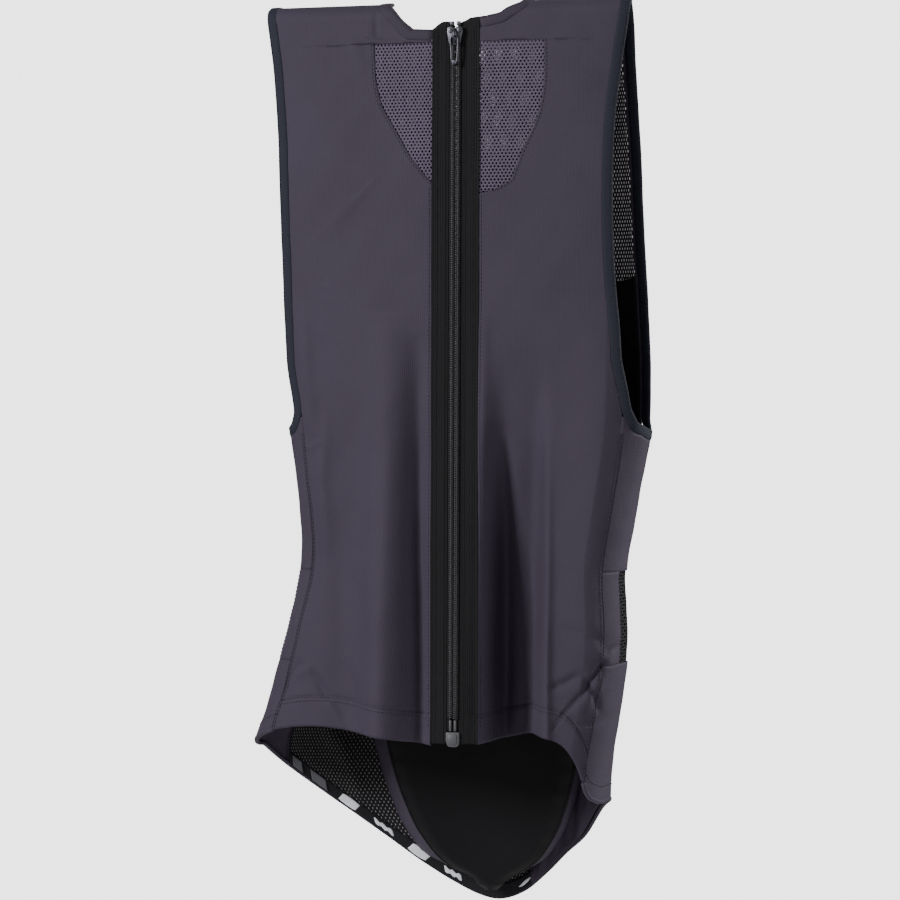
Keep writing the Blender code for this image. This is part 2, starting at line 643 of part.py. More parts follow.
def zip_pieces():
    for side in (1, -1):
        name = side_name(side)
        sign = side * ZIP_FRAME.col[0][0]

        def span(inner, outer):
            return sorted((sign * inner, sign * outer))

        low, high = span(TAPE_INNER, ZIP_X)
        box(f"zip_tape_{name}", (low, -TAPE_THICK, ZIP_TOP), (high, 0, ZIP_END), "zip_tape")
        low, high = span(COIL_INNER, COIL_OUTER)
        pin = f"zip_{'retainer' if side > 0 else 'insertion'}_pin"
        pin_top = ZIP_END - PIN_LONG
        for piece, top, end, slot, bevel in (
            (f"zip_coil_{name}", ZIP_TOP + 0.004, pin_top - GAP, "zip_coil", 0.0005),
            (f"zip_top_stop_{name}", ZIP_TOP + 0.0004, ZIP_TOP + 0.0034, "zip_metal", 0.0004),
            (pin, pin_top, ZIP_END - GAP, "zip_plastic", 0.0003),
        ):
            box(piece, (low, GAP, top), (high, COIL_HIGH, end), slot, bevel=bevel)
    box(
        "zip_box",
        (-BOX_WIDE / 2, -BOX_THICK / 2 + 0.0006, ZIP_END + GAP),
        (BOX_WIDE / 2, BOX_THICK / 2 + 0.0006, ZIP_END + GAP + BOX_LONG),
        "zip_plastic",
        bevel=0.0008,
    )


def slider_pieces():
    """Two plates round the coils, a wedge between them that parts the coils, and a bail for the pull."""
    half = SLIDER_WIDE / 2
    top, end = SLIDER_TOP, SLIDER_TOP + SLIDER_LONG
    face = COIL_HIGH + SLIDER_PLAY
    rear = -TAPE_THICK - SLIDER_PLAY
    body = box("zip_slider_body", (-half, face, top), (half, face + SLIDER_PLATE, end), "zip_metal")
    lap = 0.0002
    flange_foot = 0.0005
    wedge_from = (-0.0005, rear - SLIDER_PLATE + lap, top + 0.0003)
    extras = [
        box("slider_rear", (-half, rear - SLIDER_PLATE, top), (half, rear, end), "zip_metal"),
        box("slider_wedge", wedge_from, (0.0005, face + lap, top + 0.0040), "zip_metal"),
    ]
    for sign in (1, -1):
        low, high = sorted((sign * (COIL_OUTER + SLIDER_PLAY), sign * (half - lap)))
        flange_from = (low, flange_foot, top + lap)
        extras.append(box(f"slider_flange_{sign}", flange_from, (high, face + lap, end - lap), "zip_metal"))
    crown = face + SLIDER_PLATE
    bail = BAIL_WIDE / 2
    for number, (low, high) in enumerate(((0.0022, 0.0040), (0.0090, 0.0108))):
        post_to = (bail, crown + BAIL_HIGH + lap, top + high)
        extras.append(box(f"bail_post_{number}", (-bail, crown - lap, top + low), post_to, "zip_metal"))
    bar_from = (-bail + lap / 2, crown + BAIL_HIGH, top + 0.0022 + lap / 2)
    bar_to = (bail - lap / 2, crown + BAIL_HIGH + BAIL_THICK, top + 0.0108 - lap / 2)
    extras.append(box("bail_bar", bar_from, bar_to, "zip_metal"))
    combine(body, extras, "UNION")

    pivot = crown + BAIL_HIGH / 2
    arm_inner = BAIL_WIDE / 2 + 0.0003
    half_thick = PULL_THICK / 2
    wide = PULL_WIDE / 2
    tip = (wide, pivot + half_thick, PULL_PIVOT + PULL_LONG)
    pull = box("zip_pull_tab", (-wide, pivot - half_thick, PULL_PIVOT + PULL_LONG - PULL_TIP), tip, "zip_metal")
    parts = []
    for sign in (1, -1):
        low, high = sorted((sign * arm_inner, sign * wide * 0.98))
        arm_from = (low, pivot - half_thick * 0.9, PULL_PIVOT - 0.0007)
        arm_to = (high, pivot + half_thick * 0.9, PULL_PIVOT + PULL_LONG - PULL_TIP + 0.0004)
        parts.append(box(f"pull_arm_{sign}", arm_from, arm_to, "zip_metal"))
    axle_from = (-wide * 0.97, pivot - 0.0005, PULL_PIVOT - 0.0005)
    parts.append(box("pull_axle", axle_from, (wide * 0.97, pivot + 0.0005, PULL_PIVOT + 0.0005), "zip_metal"))
    combine(pull, parts, "UNION")


def carry(body, place, along, nodes, parent=None):
    """An empty on a joint's axis, with its Z along it, that carries the nodes which move together."""
    axis = bpy.data.objects.new(f"{body}_axis", None)
    axis.empty_display_size = 0.02
    VEST.objects.link(axis)
    world = Matrix.Translation(place) @ Vector(along).to_track_quat("Z", "Y").to_matrix().to_4x4()
    axis.matrix_basis = world
    if parent:
        axis.parent = bpy.data.objects[f"{parent}_axis"]
        axis.matrix_parent_inverse = AXES[parent].inverted()
    AXES[body] = world
    for node in nodes:
        obj = bpy.data.objects[node]
        obj.parent = axis
        obj.matrix_parent_inverse = world.inverted()


def joints():
    """Each front folds open on a line down its middle, the slider runs on the left one, the pad slides out."""
    for side, pin, rest in ((1, "zip_retainer_pin", ["zip_box"]), (-1, "zip_insertion_pin", [])):
        name = side_name(side)
        top = Vector((side * FOLD_TOP_X, FOLD_TOP_Y, 0))
        foot = Vector((side * FOLD_HEM_X, FOLD_HEM_Y, -FOLD_HEM_DROP))
        cloth = ("front_panel", "neck_mesh", "neck_binding", "hem_facing")
        nodes = [f"{half}_{name}" for half in cloth + ("zip_tape", "zip_coil", "zip_top_stop")]
        carry(f"front_{name}", top, side * (top - foot), nodes + [pin] + rest)
    down = ZIP_FRAME.col[2].xyz
    carry("zip_slider", ZIP_FRAME @ Vector((0, 0, SLIDER_TOP)), down, ["zip_slider_body"], "front_left")
    pivot = ZIP_FRAME @ Vector((0, COIL_HIGH + SLIDER_PLAY + SLIDER_PLATE + BAIL_HIGH / 2, PULL_PIVOT))
    carry("zip_pull", pivot, (1, 0, 0), ["zip_pull_tab"], "zip_slider")
    pad_top = (0, BACK_DEPTH + BACK_SLOPE * PAD_TOP, -PAD_TOP)
    carry("pad", pad_top, (0, BACK_SLOPE, -1), [name for name, _ in PAD_LAYERS])


AXES = {}
clear_scene()
VEST = collection("back_protector_vest")
HELPERS = collection("cutters")
ZIP_FRAME = zip_frame()
for wearers_side in (1, -1):
    front_pieces(wearers_side)
    side_pieces(wearers_side)
back_pieces()
grip_prints()
hem_labels()
pocket_pieces()
pad_pieces()
shoulder_tapes()
zip_pieces()
slider_pieces()
joints()
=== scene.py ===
"""Looks of the back protector vest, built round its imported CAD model.

Metres, +Z up, in the CAD's frame: the origin is on the shoulder fold, the zip faces -Y and the wearer's left
is at +X. A place on the vest is an angle in degrees (0 at the zip, 90 at the wearer's left, 180 at the spine)
and a drop below the shoulder fold. The vest's surface is the CAD's with folds added, and its outlines follow
the CAD's to within a few millimetres.
"""

import math

import bpy
import numpy as np
from mathutils import Matrix, Vector


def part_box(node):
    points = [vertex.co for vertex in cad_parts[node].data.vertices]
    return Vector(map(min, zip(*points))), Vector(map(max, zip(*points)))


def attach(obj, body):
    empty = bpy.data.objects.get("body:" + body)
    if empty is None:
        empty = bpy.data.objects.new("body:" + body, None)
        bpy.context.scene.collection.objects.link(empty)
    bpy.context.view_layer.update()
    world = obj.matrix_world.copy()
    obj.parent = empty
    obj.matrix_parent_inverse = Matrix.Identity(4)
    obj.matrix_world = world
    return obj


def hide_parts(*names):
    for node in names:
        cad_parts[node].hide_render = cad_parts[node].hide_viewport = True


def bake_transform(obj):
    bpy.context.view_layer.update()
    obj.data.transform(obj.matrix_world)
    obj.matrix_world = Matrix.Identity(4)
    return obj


# ---------------------------------------------------------------- the vest's shape

ZIP_X, ZIP_TOP, ZIP_END = 0.016, 0.0150, 0.5040
STRAP_INNER = 0.050
SIDE_SEAM, BACK_SEAM = 63.0, 111.0
FRONT_ROUND, BACK_ROUND = 0.012, 0.022
FRONT_DEPTH, FRONT_SLOPE = 0.018, 0.016
BACK_DEPTH, BACK_SLOPE = 0.017, 0.130
BOXINESS = 0.55
CLOTH = 0.0012
GAP = 0.0003
TAPE_EDGE = ZIP_X + GAP
# In degrees: how far the front's cloth stays from the armhole's edge, and a sheet from the one beside it.
EDGE_CLEAR, SEAM_CLEAR = 1.2, 0.05
HEM_DEPTH, HEM_MIDDLE = 0.021, 0.515
GRIP_TALL = 0.011
VENT_TOP, VENT_END, VENT_EDGE = 0.3942, 0.4578, 84.0
LEFT_WIDTH = (
    (0.0, 0.1275), (0.12, 0.1288), (0.20, 0.1300), (0.26, 0.1305), (0.30, 0.1280), (0.35, 0.1175), (0.39, 0.1100),
    (0.44, 0.1105), (0.49, 0.1040), (0.52, 0.0980), (0.57, 0.0950), (0.64, 0.0945),
)
RIGHT_WIDTH = (
    (0.0, 0.147), (0.20, 0.141), (0.26, 0.133), (0.30, 0.127), (0.35, 0.1215), (0.39, 0.1205),
    (0.44, 0.132), (0.49, 0.147), (0.52, 0.157), (0.56, 0.154), (0.60, 0.138), (0.64, 0.125),
)
LEFT_HEM = (
    (0, 0.515), (18, 0.510), (34, 0.507), (50, 0.515), (59, 0.530), (66, 0.546), (78, 0.553), (100, 0.556),
    (120, 0.565), (135, 0.586), (146, 0.598), (156, 0.612), (168, 0.627), (180, 0.633),
)
RIGHT_HEM = (
    (0, 0.515), (18, 0.509), (40, 0.503), (60, 0.506), (75, 0.512), (90, 0.520), (107, 0.533), (124, 0.552),
    (136, 0.570), (146, 0.588), (156, 0.606), (166, 0.621), (174, 0.630), (180, 0.633),
)
LEFT_ARMHOLE = ((0.0, 0.1155), (0.04, 0.1105), (0.08, 0.1055), (0.13, 0.1035), (0.18, 0.1045), (0.25, 0.109))
RIGHT_ARMHOLE = ((0.0, 0.134), (0.04, 0.129), (0.08, 0.126), (0.13, 0.1240), (0.20, 0.122), (0.25, 0.121))
ARMHOLES = {1: LEFT_ARMHOLE, -1: RIGHT_ARMHOLE}
BACK_ARMHOLE = ((0.0, 117.0), (0.13, 114.0), (0.22, 112.0), (0.29, BACK_SEAM))
CORNER_TOP, CORNER_END = 0.25, 0.286
ARMHOLE_BOTTOM = ((SIDE_SEAM, 0.286), (68, 0.294), (80, 0.299), (95, 0.302), (104, 0.301), (BACK_SEAM, 0.292))
LEFT_NECK = ((0.0, STRAP_INNER), (0.0060, 0.0466), (0.0112, 0.0385), (0.0158, 0.0300), (0.0174, 0.0225))
RIGHT_NECK = (
    (0.0, 0.0545), (0.0085, 0.0500), (0.0165, 0.0428), (0.0232, 0.0355), (0.0252, 0.0300), (0.0256, 0.0225)
)
NECKS = {1: LEFT_NECK, -1: RIGHT_NECK}
NECK_BACK_END = 0.0252
NECK_BACK = (
    (0.0, STRAP_INNER), (0.006, 0.0478), (0.012, 0.0445), (0.0175, 0.0395), (0.0215, 0.0345), (0.0238, 0.0260),
    (0.0250, 0.0140), (NECK_BACK_END, 0.001),
)
LEFT_INSERT = (
    (0.0, 0.0606), (0.0691, 0.0606), (0.0808, 0.0580), (0.0933, 0.0528), (0.1050, 0.0471), (0.1174, 0.0421),
    (0.1284, 0.0350), (0.1325, 0.0258), (0.1345, 0.0163),
)
RIGHT_INSERT = (
    (0.0, 0.0592), (0.030, 0.0590), (0.0622, 0.0561), (0.0739, 0.0525), (0.0829, 0.0472), (0.0946, 0.0401),
    (0.1071, 0.0329), (0.1208, 0.0222), (0.1284, 0.0163),
)
INSERTS = {1: LEFT_INSERT, -1: RIGHT_INSERT}
INSERT_TOP = 0.0290
PAD_TOP, PAD_END = 0.112, 0.615
PAD_WIDTH = (
    (0.112, 0.030), (0.118, 0.045), (0.135, 0.058), (0.19, 0.070), (0.27, 0.075), (0.36, 0.074),
    (0.44, 0.071), (0.53, 0.067), (0.560, 0.058), (0.585, 0.046), (0.604, 0.029), (0.615, 0.010),
)
PAD_BEND, PAD_BACKSET = 2.00, 0.0052
# Each layer is (CAD node, piece, thickness, material, slot, depth of its channels), from the back inwards.
PAD_LAYERS = (
    ("pad_outer_layer", "pad_outer_foam", 0.0040, "foam", "pad_foam", 0.00021),
    ("pad_impact_core", "pad_core_foam", 0.0085, "core", "pad_core", 0.00042),
    ("pad_comfort_layer", "pad_comfort_foam", 0.0030, "foam", "pad_foam", 0.00021),
)
PAD_THICK = sum(layer[2] for layer in PAD_LAYERS) + GAP * (len(PAD_LAYERS) - 1)
PAD_PLAY = 0.0018
HOLE_PITCH, HOLE_TOP, HOLE_ROWS, HOLE_ACROSS, HOLE_RADIUS, HOLE_SIDES = 0.048, 0.165, 9, 0.036, 0.0050, 24
POCKET_TOP, POCKET_END, POCKET_MARGIN = 0.104, 0.622, 0.004
FRAME_TOP, FRAME_END = 0.296, 0.6175

# Heights above the shell's outer face: of the lining, and of the two faces of the grip tape. Its marks are
# (angle, 1 for a slanted bar or 0 for a waisted one).
LINING_LIFT, LINING_THICK = -CLOTH - 0.0008, 0.0007
GRIP_LIFT, GRIP_THICK = LINING_LIFT - 0.0003, 0.0010
GRIP_FACE = GRIP_LIFT - GRIP_THICK
GRIP_MARKS = ((-166, 0), (-156, 1), (-146, 0), (-136, 1), (166, 1), (156, 0), (146, 1))

# Rows of stitches, as (pitch, length, thickness), and meshes with real holes, of which the vent's cells are
# laid out from VENT_START with VENT_SCALE metres for each degree.
HEM_STITCH, SEAM_STITCH, SIDE_STITCH = (0.0030, 0.0022, 0.00042), (0.0028, 0.0020, 0.00038), (0.0028, 0.0022, 0.0004)
VENT_STITCH, POCKET_STITCH = (0.0028, 0.0020, 0.0004), (0.0030, 0.0022, 0.0004)
MESH_PITCH, MESH_THICK = 0.0026, 0.0006
VENT_START, VENT_SCALE = 0.2, 0.00125
# How far a row of stitches is across an edging, and the radius that turns degrees into metres of weave.
EDGING_ROW, WEAVE_RADIUS = 0.0044, 0.112

# Rounds in which a grid settles between its edges, and the least width and share of its oblong for a sheet.
SETTLE_ROUNDS = 30
LEAST_FLAT, LEAST_SHARE = 0.0101, 0.301

# Zip, in its own frame: x across, outwards from the tapes' faces, down from the shoulders' level.
COIL_HIGH = 0.0019
TAPE_THICK = 0.0008
SLIDER_TOP, SLIDER_LONG = 0.0190, 0.0130
SLIDER_PLATE, SLIDER_PLAY = 0.0012, 0.0004
BAIL_HIGH = 0.0020
PULL_PIVOT, PULL_LONG = 0.0260, 0.0198
PIN_LONG = 0.0080
BOX_LONG, BOX_WIDE, BOX_THICK = 0.0100, 0.0096, 0.0042
# Raised cords along a tape, as (height, x, width), and a loop of the coil, as (x, height, radius) all round.
TAPE_CORDS = (
    (0.00042, 0.0052, 0.00062), (0.00036, 0.0071, 0.00055), (0.00022, 0.0142, 0.0005), (-0.0002, 0.0120, 0.0004),
)
COIL_PITCH = 0.00125
COIL_LOOP = (
    (0.00036, 0.00085, 0.00046), (0.00060, 0.00150, 0.00048), (0.0013, 0.00172, 0.00036),
    (0.0025, 0.00165, 0.00033), (0.0034, 0.00130, 0.00036), (0.0037, 0.00085, 0.00036),
    (0.0034, 0.00045, 0.00030), (0.0013, 0.00035, 0.00030), (0.0006, 0.00042, 0.00040),
)
# Half of the pull's wire, from its middle above to its middle below, as (x, down from its pivot).
PULL_LOOP = (
    (0.0, -0.0002), (0.0012, -0.0001), (0.00215, 0.0006), (0.00262, 0.0020), (0.0026, 0.0050), (0.0023, 0.0100),
    (0.0020, 0.0150), (0.0018, 0.0176), (0.0013, 0.0187), (0.0006, 0.0191), (0.0, 0.0192),
)

# ---------------------------------------------------------------- folds and creases in the cloth

# Each is (points as (x, drop) in mm, half-width in mm, height in mm, 2 for a round crest or 5 for a flat one).
FRONT_FOLDS = (
    (((-47.0, 215), (-48.0, 300), (-49.0, 380), (-49.0, 450), (-49.0, 510), (-49.0, 840)), 15.5, 16.5, 2),
    (((-27.0, 230), (-27.0, 380), (-26.0, 470), (-26.0, 640)), 7.0, -9.0, 2),
    (((-83.0, 300), (-84.0, 400), (-82.0, 470), (-82.0, 640)), 9.0, -1.6, 2),
    (((-49.3, 290), (-52.1, 358), (-49.3, 427)), 5.0, -0.9, 2),
    (((-93.3, 276), (-97.6, 331), (-93.3, 386)), 5.0, 1.8, 2),
    (((-106.1, 331), (-104.7, 386), (-109.0, 427)), 5.0, -1.8, 2),
    (((-109.0, 170.6), (-80.5, 143.1), (-49.3, 115.7)), 1.6, 0.42, 2),
    (((-96.2, 163.7), (-73.4, 140.4), (-57.8, 125.3)), 1.6, 0.36, 2),
    (((-106.8, 199.4), (-96.2, 196.6), (-84.1, 198.0)), 1.4, 0.45, 2),
    (((-103.3, 206.2), (-87.6, 205.5)), 1.4, 0.40, 2),
    (((-124.6, 475.1), (-116.1, 465.5), (-104.7, 462.8)), 3.0, 1.6, 2),
    (((-104.7, 462.8), (-97.6, 475.1), (-90.5, 486.1)), 3.2, -2.2, 2),
    (((-128.9, 486.1), (-123.2, 471.0), (-111.8, 457.3)), 3.4, -2.0, 2),
    (((-96.2, 482.0), (-86.2, 493.0), (-79.1, 504.0)), 3.2, 1.6, 2),
    (((-80.5, 454.6), (-72.0, 475.1), (-74.9, 495.7)), 4.0, -1.4, 2),
    (((-111.8, 207.6), (-109.0, 262.5), (-103.3, 303.6)), 5.0, 1.6, 2),
    (((-114.6, 303.6), (-106.8, 309.1), (-96.2, 303.6)), 2.0, 0.9, 2),
    (((21.0, 215), (20.0, 300), (20.0, 420), (20.0, 460), (19.0, 520)), 4.5, 3.4, 2),
    (((46.0, 240), (44.0, 345), (43.0, 400), (41.5, 455), (41.0, 515), (41.0, 760)), 17.5, -34.0, 5),
    (((28.0, 290), (27.0, 380), (27.0, 440), (26.0, 520), (26.0, 640)), 8.5, -12.0, 2),
    (((106.0, 205), (107.0, 300), (105.0, 400), (103.0, 480), (100.0, 640)), 27.0, 13.0, 2),
    (((64.5, 300), (64.0, 413.4), (63.5, 468.3), (63.0, 530), (63.0, 640)), 4.0, 4.0, 2),
    (((118.0, 441.0), (103.0, 447.0), (95.0, 460.0), (87.0, 475.1), (79.0, 485.4), (66.0, 503.0)), 1.5, -2.4, 2),
    (((110.0, 450.5), (104.9, 452.0), (98.5, 465.0), (90.6, 479.1), (82.0, 490.4)), 3.2, 2.0, 2),
    (((72.9, 432.6), (86.4, 435.4), (101.3, 440.8)), 2.6, -1.0, 2),
    (((64.6, 473.9), (75.8, 469.7), (88.6, 461.0)), 2.2, -2.6, 2),
    (((86.0, 463.0), (93.0, 476.0), (96.0, 492.1)), 2.2, -3.0, 2),
    (((75.8, 493.0), (90.0, 497.1), (104.2, 493.0)), 3.0, -1.4, 2),
    (((91.4, 440.8), (97.1, 451.1), (104.2, 454.6)), 3.0, 1.4, 2),
    (((-57.8, 5.0), (-57.8, 19.6), (-56.4, 31.0)), 1.8, -1.2, 2),
    (((-87.6, 15.5), (-73.4, 29.2), (-64.9, 49.8)), 4.0, 0.8, 2),
)
BACK_FOLDS = (
    (((-94.0, 150), (-97.0, 300), (-92.0, 420), (-88.0, 520)), 9.0, 4.9, 2),
    (((-80.0, 330), (-80.0, 420), (-78.0, 560)), 5.0, -2.4, 2),
    (((92.0, 170), (94.0, 300), (86.0, 400), (80.0, 500)), 8.0, 4.6, 2),
    (((81.0, 300), (78.0, 400), (70.0, 520)), 4.5, -2.4, 2),
    (((-62.0, 14), (-42.0, 56), (-8.0, 90), (28.0, 82), (60.0, 34)), 8.0, 2.6, 2),
    (((-48.0, 36), (-26.0, 68), (6.0, 78), (36.0, 56)), 5.0, -1.8, 2),
    (((-112.0, 60), (-92.0, 110), (-78.0, 170)), 7.0, 2.2, 2),
    (((110.0, 50), (92.0, 104), (76.0, 160)), 7.0, 2.2, 2),
    (((-110.0, 330), (-96.0, 372), (-80.0, 398)), 5.0, -2.6, 2),
    (((110.0, 320), (94.0, 366), (72.0, 392)), 5.0, -2.6, 2),
    (((-100.0, 372), (-60.0, 388), (-18.0, 384)), 6.0, -1.7, 2),
    (((92.0, 352), (50.0, 372), (10.0, 372)), 6.0, -1.7, 2),
    (((-104.0, 400), (-66.0, 418), (-30.0, 410)), 5.0, 1.6, 2),
    (((-122.0, 440), (-104.0, 470), (-94.0, 530)), 7.0, 3.4, 2),
    (((-132.0, 492), (-112.0, 520), (-96.0, 566)), 6.0, -3.4, 2),
    (((-70.0, 520), (-58.0, 560), (-40.0, 596)), 5.0, -1.8, 2),
    (((88.0, 450), (76.0, 510), (60.0, 566)), 6.0, 3.0, 2),
    (((62.0, 540), (46.0, 580), (22.0, 604)), 5.0, -1.8, 2),
    (((-36.0, 98), (-30.0, 110), (0.0, 104), (34.0, 110)), 4.0, -1.6, 2),
)


def through(stations, at):
    """A smooth curve through (place, value) stations, level beyond both ends."""
    places = np.array([s[0] for s in stations], float)
    values = np.array([s[1] for s in stations], float)
    slopes = np.gradient(values, places)
    slopes[0] = slopes[-1] = 0.0
    at = np.clip(np.asarray(at, float), places[0], places[-1])
    k = np.clip(np.searchsorted(places, at, side="right") - 1, 0, len(places) - 2)
    span = places[k + 1] - places[k]
    t = (at - places[k]) / span
    return (
        (2 * t**3 - 3 * t**2 + 1) * values[k]
        + (t**3 - 2 * t**2 + t) * span * slopes[k]
        + (3 * t**2 - 2 * t**3) * values[k + 1]
        + (t**3 - t**2) * span * slopes[k + 1]
    )


def unit(vectors):
    return vectors / np.maximum(np.linalg.norm(vectors, axis=-1, keepdims=True), 1e-12)


def lengths_along(points):
    """How far along its line each point is."""
    return np.concatenate([[0.0], np.cumsum(np.linalg.norm(np.diff(points, axis=0), axis=1))])


def eased(share):
    """From 0 to 1 as the share does, with a soft start and end."""
    share = np.clip(share, 0, 1)
    return share**2 * (3 - 2 * share)


def rounded(drop, radius):
    """How full the vest is below its shoulder fold: a quarter of a circle that grows from 0 to 1."""
    share = np.clip(np.asarray(drop, float) / radius, 0.0, 1.0)
    return np.sqrt(1.0 - (1.0 - share) ** 2)


def front_depth(drop):
    """How far the front is before the shoulder fold."""
    return (FRONT_DEPTH + FRONT_SLOPE * np.asarray(drop, float)) * rounded(drop, FRONT_ROUND)


def back_depth(drop):
    """How far the back is behind the shoulder fold."""
    return (BACK_DEPTH + BACK_SLOPE * np.asarray(drop, float)) * rounded(drop, BACK_ROUND)


def half_width(side, drop):
    return np.where(np.asarray(side) < 0, through(RIGHT_WIDTH, drop), through(LEFT_WIDTH, drop))


def torso(angle, drop):
    """A point on the vest's outer surface, before folds."""
    angle, drop = np.broadcast_arrays(np.asarray(angle, float), np.asarray(drop, float))
    turned = np.radians(angle)
    front, back = front_depth(drop), back_depth(drop)
    side = (back - front) / 2
    flat = np.abs(np.cos(turned)) ** BOXINESS
    y = np.where(np.cos(turned) >= 0, side - (front + side) * flat, side + (back - side) * flat)
    return np.stack([half_width(np.sin(turned), drop) * np.sin(turned), y, -drop], axis=-1)


def outwards(angle, drop):
    """Unit vectors out of the vest."""
    drop = np.maximum(drop, 0.0012)
    across = torso(angle + 0.25, drop) - torso(angle - 0.25, drop)
    down = torso(angle, drop + 0.0005) - torso(angle, drop - 0.0005)
    return unit(np.cross(down, across))


def angle_at(x, drop, back=False):
    """The angle of the point of the torso that is x from the middle."""
    share = np.clip(np.abs(x) / half_width(np.sign(x), drop), 0.0, 1.0)
    angle = np.degrees(np.arcsin(share))
    return np.sign(x) * (180.0 - angle if back else angle)


def turn(angle):
    """An angle from -180 to 180."""
    return np.where(np.asarray(angle) > 180, np.asarray(angle) - 360, angle)


def hem(angle):
    """The drop of the vest's lower edge."""
    angle = turn(np.asarray(angle, float))
    return np.where(angle < 0, through(RIGHT_HEM, np.abs(angle)), through(LEFT_HEM, np.abs(angle)))


def armhole_front(side, drop):
    """The armhole's front edge as an angle, which ends on the side seam."""
    drop = np.asarray(drop, float)
    upper = np.abs(angle_at(side * through(ARMHOLES[side], drop), drop))
    last = float(np.abs(angle_at(side * ARMHOLES[side][-1][1], CORNER_TOP)))
    return np.where(drop < CORNER_TOP, upper, np.interp(drop, (CORNER_TOP, CORNER_END), (last, SIDE_SEAM)))


def front_seam(side, drop, clear=2.0):
    """The front's outer edge as an angle: beside the armhole's binding above, and on the side seam below."""
    on_seam = np.clip((np.asarray(drop, float) - 0.292) / 0.035, 0, 1)
    return (armhole_front(side, drop) - clear) * (1 - on_seam) + SIDE_SEAM * on_seam


def back_seam(drop, clear=2.0):
    """The back's outer edge as an angle, in the same way."""
    on_seam = np.clip((np.asarray(drop, float) - 0.297) / 0.040, 0, 1)
    return (through(BACK_ARMHOLE, drop) + clear) * (1 - on_seam) + BACK_SEAM * on_seam


def fold_heights(x, drop, folds, hold):
    """How far a set of folds lifts the cloth at each place. The large ones fade out where hold is small."""
    place = np.stack([x, drop], axis=-1) * 1000.0
    total = np.zeros(x.shape)
    for points, width, height, power in folds:
        line = np.array(points, float)
        starts = lengths_along(line)
        nearest = np.full(x.shape, 1e9)
        along = np.zeros(x.shape)
        for k, length in enumerate(np.diff(starts)):
            way = (line[k + 1] - line[k]) / length
            t = np.clip((place - line[k]) @ way, 0.0, length)
            away = np.linalg.norm(place - line[k] - t[..., None] * way, axis=-1)
            closer = away < nearest
            nearest = np.where(closer, away, nearest)
            along = np.where(closer, (starts[k] + t) / starts[-1], along)
        taper = np.sin(np.pi * np.clip(along, 0.0, 1.0)) ** (1.3 if height < -20 else 0.7)
        lift = height / 1000.0 * taper * np.exp(-((nearest / width) ** power))
        total += lift * np.where(abs(height) > 5, np.clip(hold / 0.6, 0, 1) ** 2, np.clip(hold / 0.25, 0, 1))
    return total


def ripple(x, drop):
    """A faint unevenness, as knitted cloth always has."""
    return 0.00022 * (
        np.sin(61 * x + 23 * drop) + np.sin(-39 * x + 47 * drop + 1.3) + np.sin(97 * x - 71 * drop + 4.0)
    ) + 0.00008 * (np.sin(211 * x + 131 * drop) + np.sin(-173 * x + 257 * drop + 2.0))


def pocket_width(drop):
    """Half the pocket's width over the pad."""
    return through(PAD_WIDTH, np.maximum(drop, PAD_TOP + 0.008)) + POCKET_MARGIN


def pad_relief(x, drop):
    """The pad showing through the back."""
    width = through(PAD_WIDTH, np.clip(drop, PAD_TOP, PAD_END))
    edge = 1 / (1 + np.exp((np.abs(x) - width) / 0.004))
    ends = 1 / (1 + np.exp((PAD_TOP - drop) / 0.004)) / (1 + np.exp((drop - PAD_END) / 0.004))
    return 0.0028 * edge * ends


def relief(angle, drop):
    """How far the cloth stands out from the torso."""
    angle, drop = np.broadcast_arrays(np.asarray(angle, float), np.asarray(drop, float))
    x = torso(angle, drop)[..., 0]
    front = np.cos(np.radians(angle)) > 0
    hold = np.abs(np.cos(np.radians(angle)))
    behind = fold_heights(x, drop, BACK_FOLDS, hold) + pad_relief(x, drop)
    lift = np.where(front, fold_heights(x, drop, FRONT_FOLDS, hold), behind)
    above = hem(angle) - HEM_DEPTH - drop
    seam = -0.0007 * np.exp(-((above / 0.0011) ** 2)) + 0.0004 / (1 + np.exp(np.clip(above / 0.0006, -40, 40)))
    lift = lift + np.where(np.abs(turn(angle)) < SIDE_SEAM + 1, seam, 0.0)
    top = np.clip(drop / 0.020, 0, 1)
    return lift * (0.25 + 0.75 * top) + ripple(x, drop) * top


def cloth_point(angle, drop, lift=0.0):
    """A point lift above the folded cloth's outer face."""
    angle, drop = np.broadcast_arrays(np.asarray(angle, float), np.asarray(drop, float))
    height = relief(angle, drop) + lift
    return torso(angle, drop) + height[..., None] * outwards(angle, drop)


# ---------------------------------------------------------------- materials


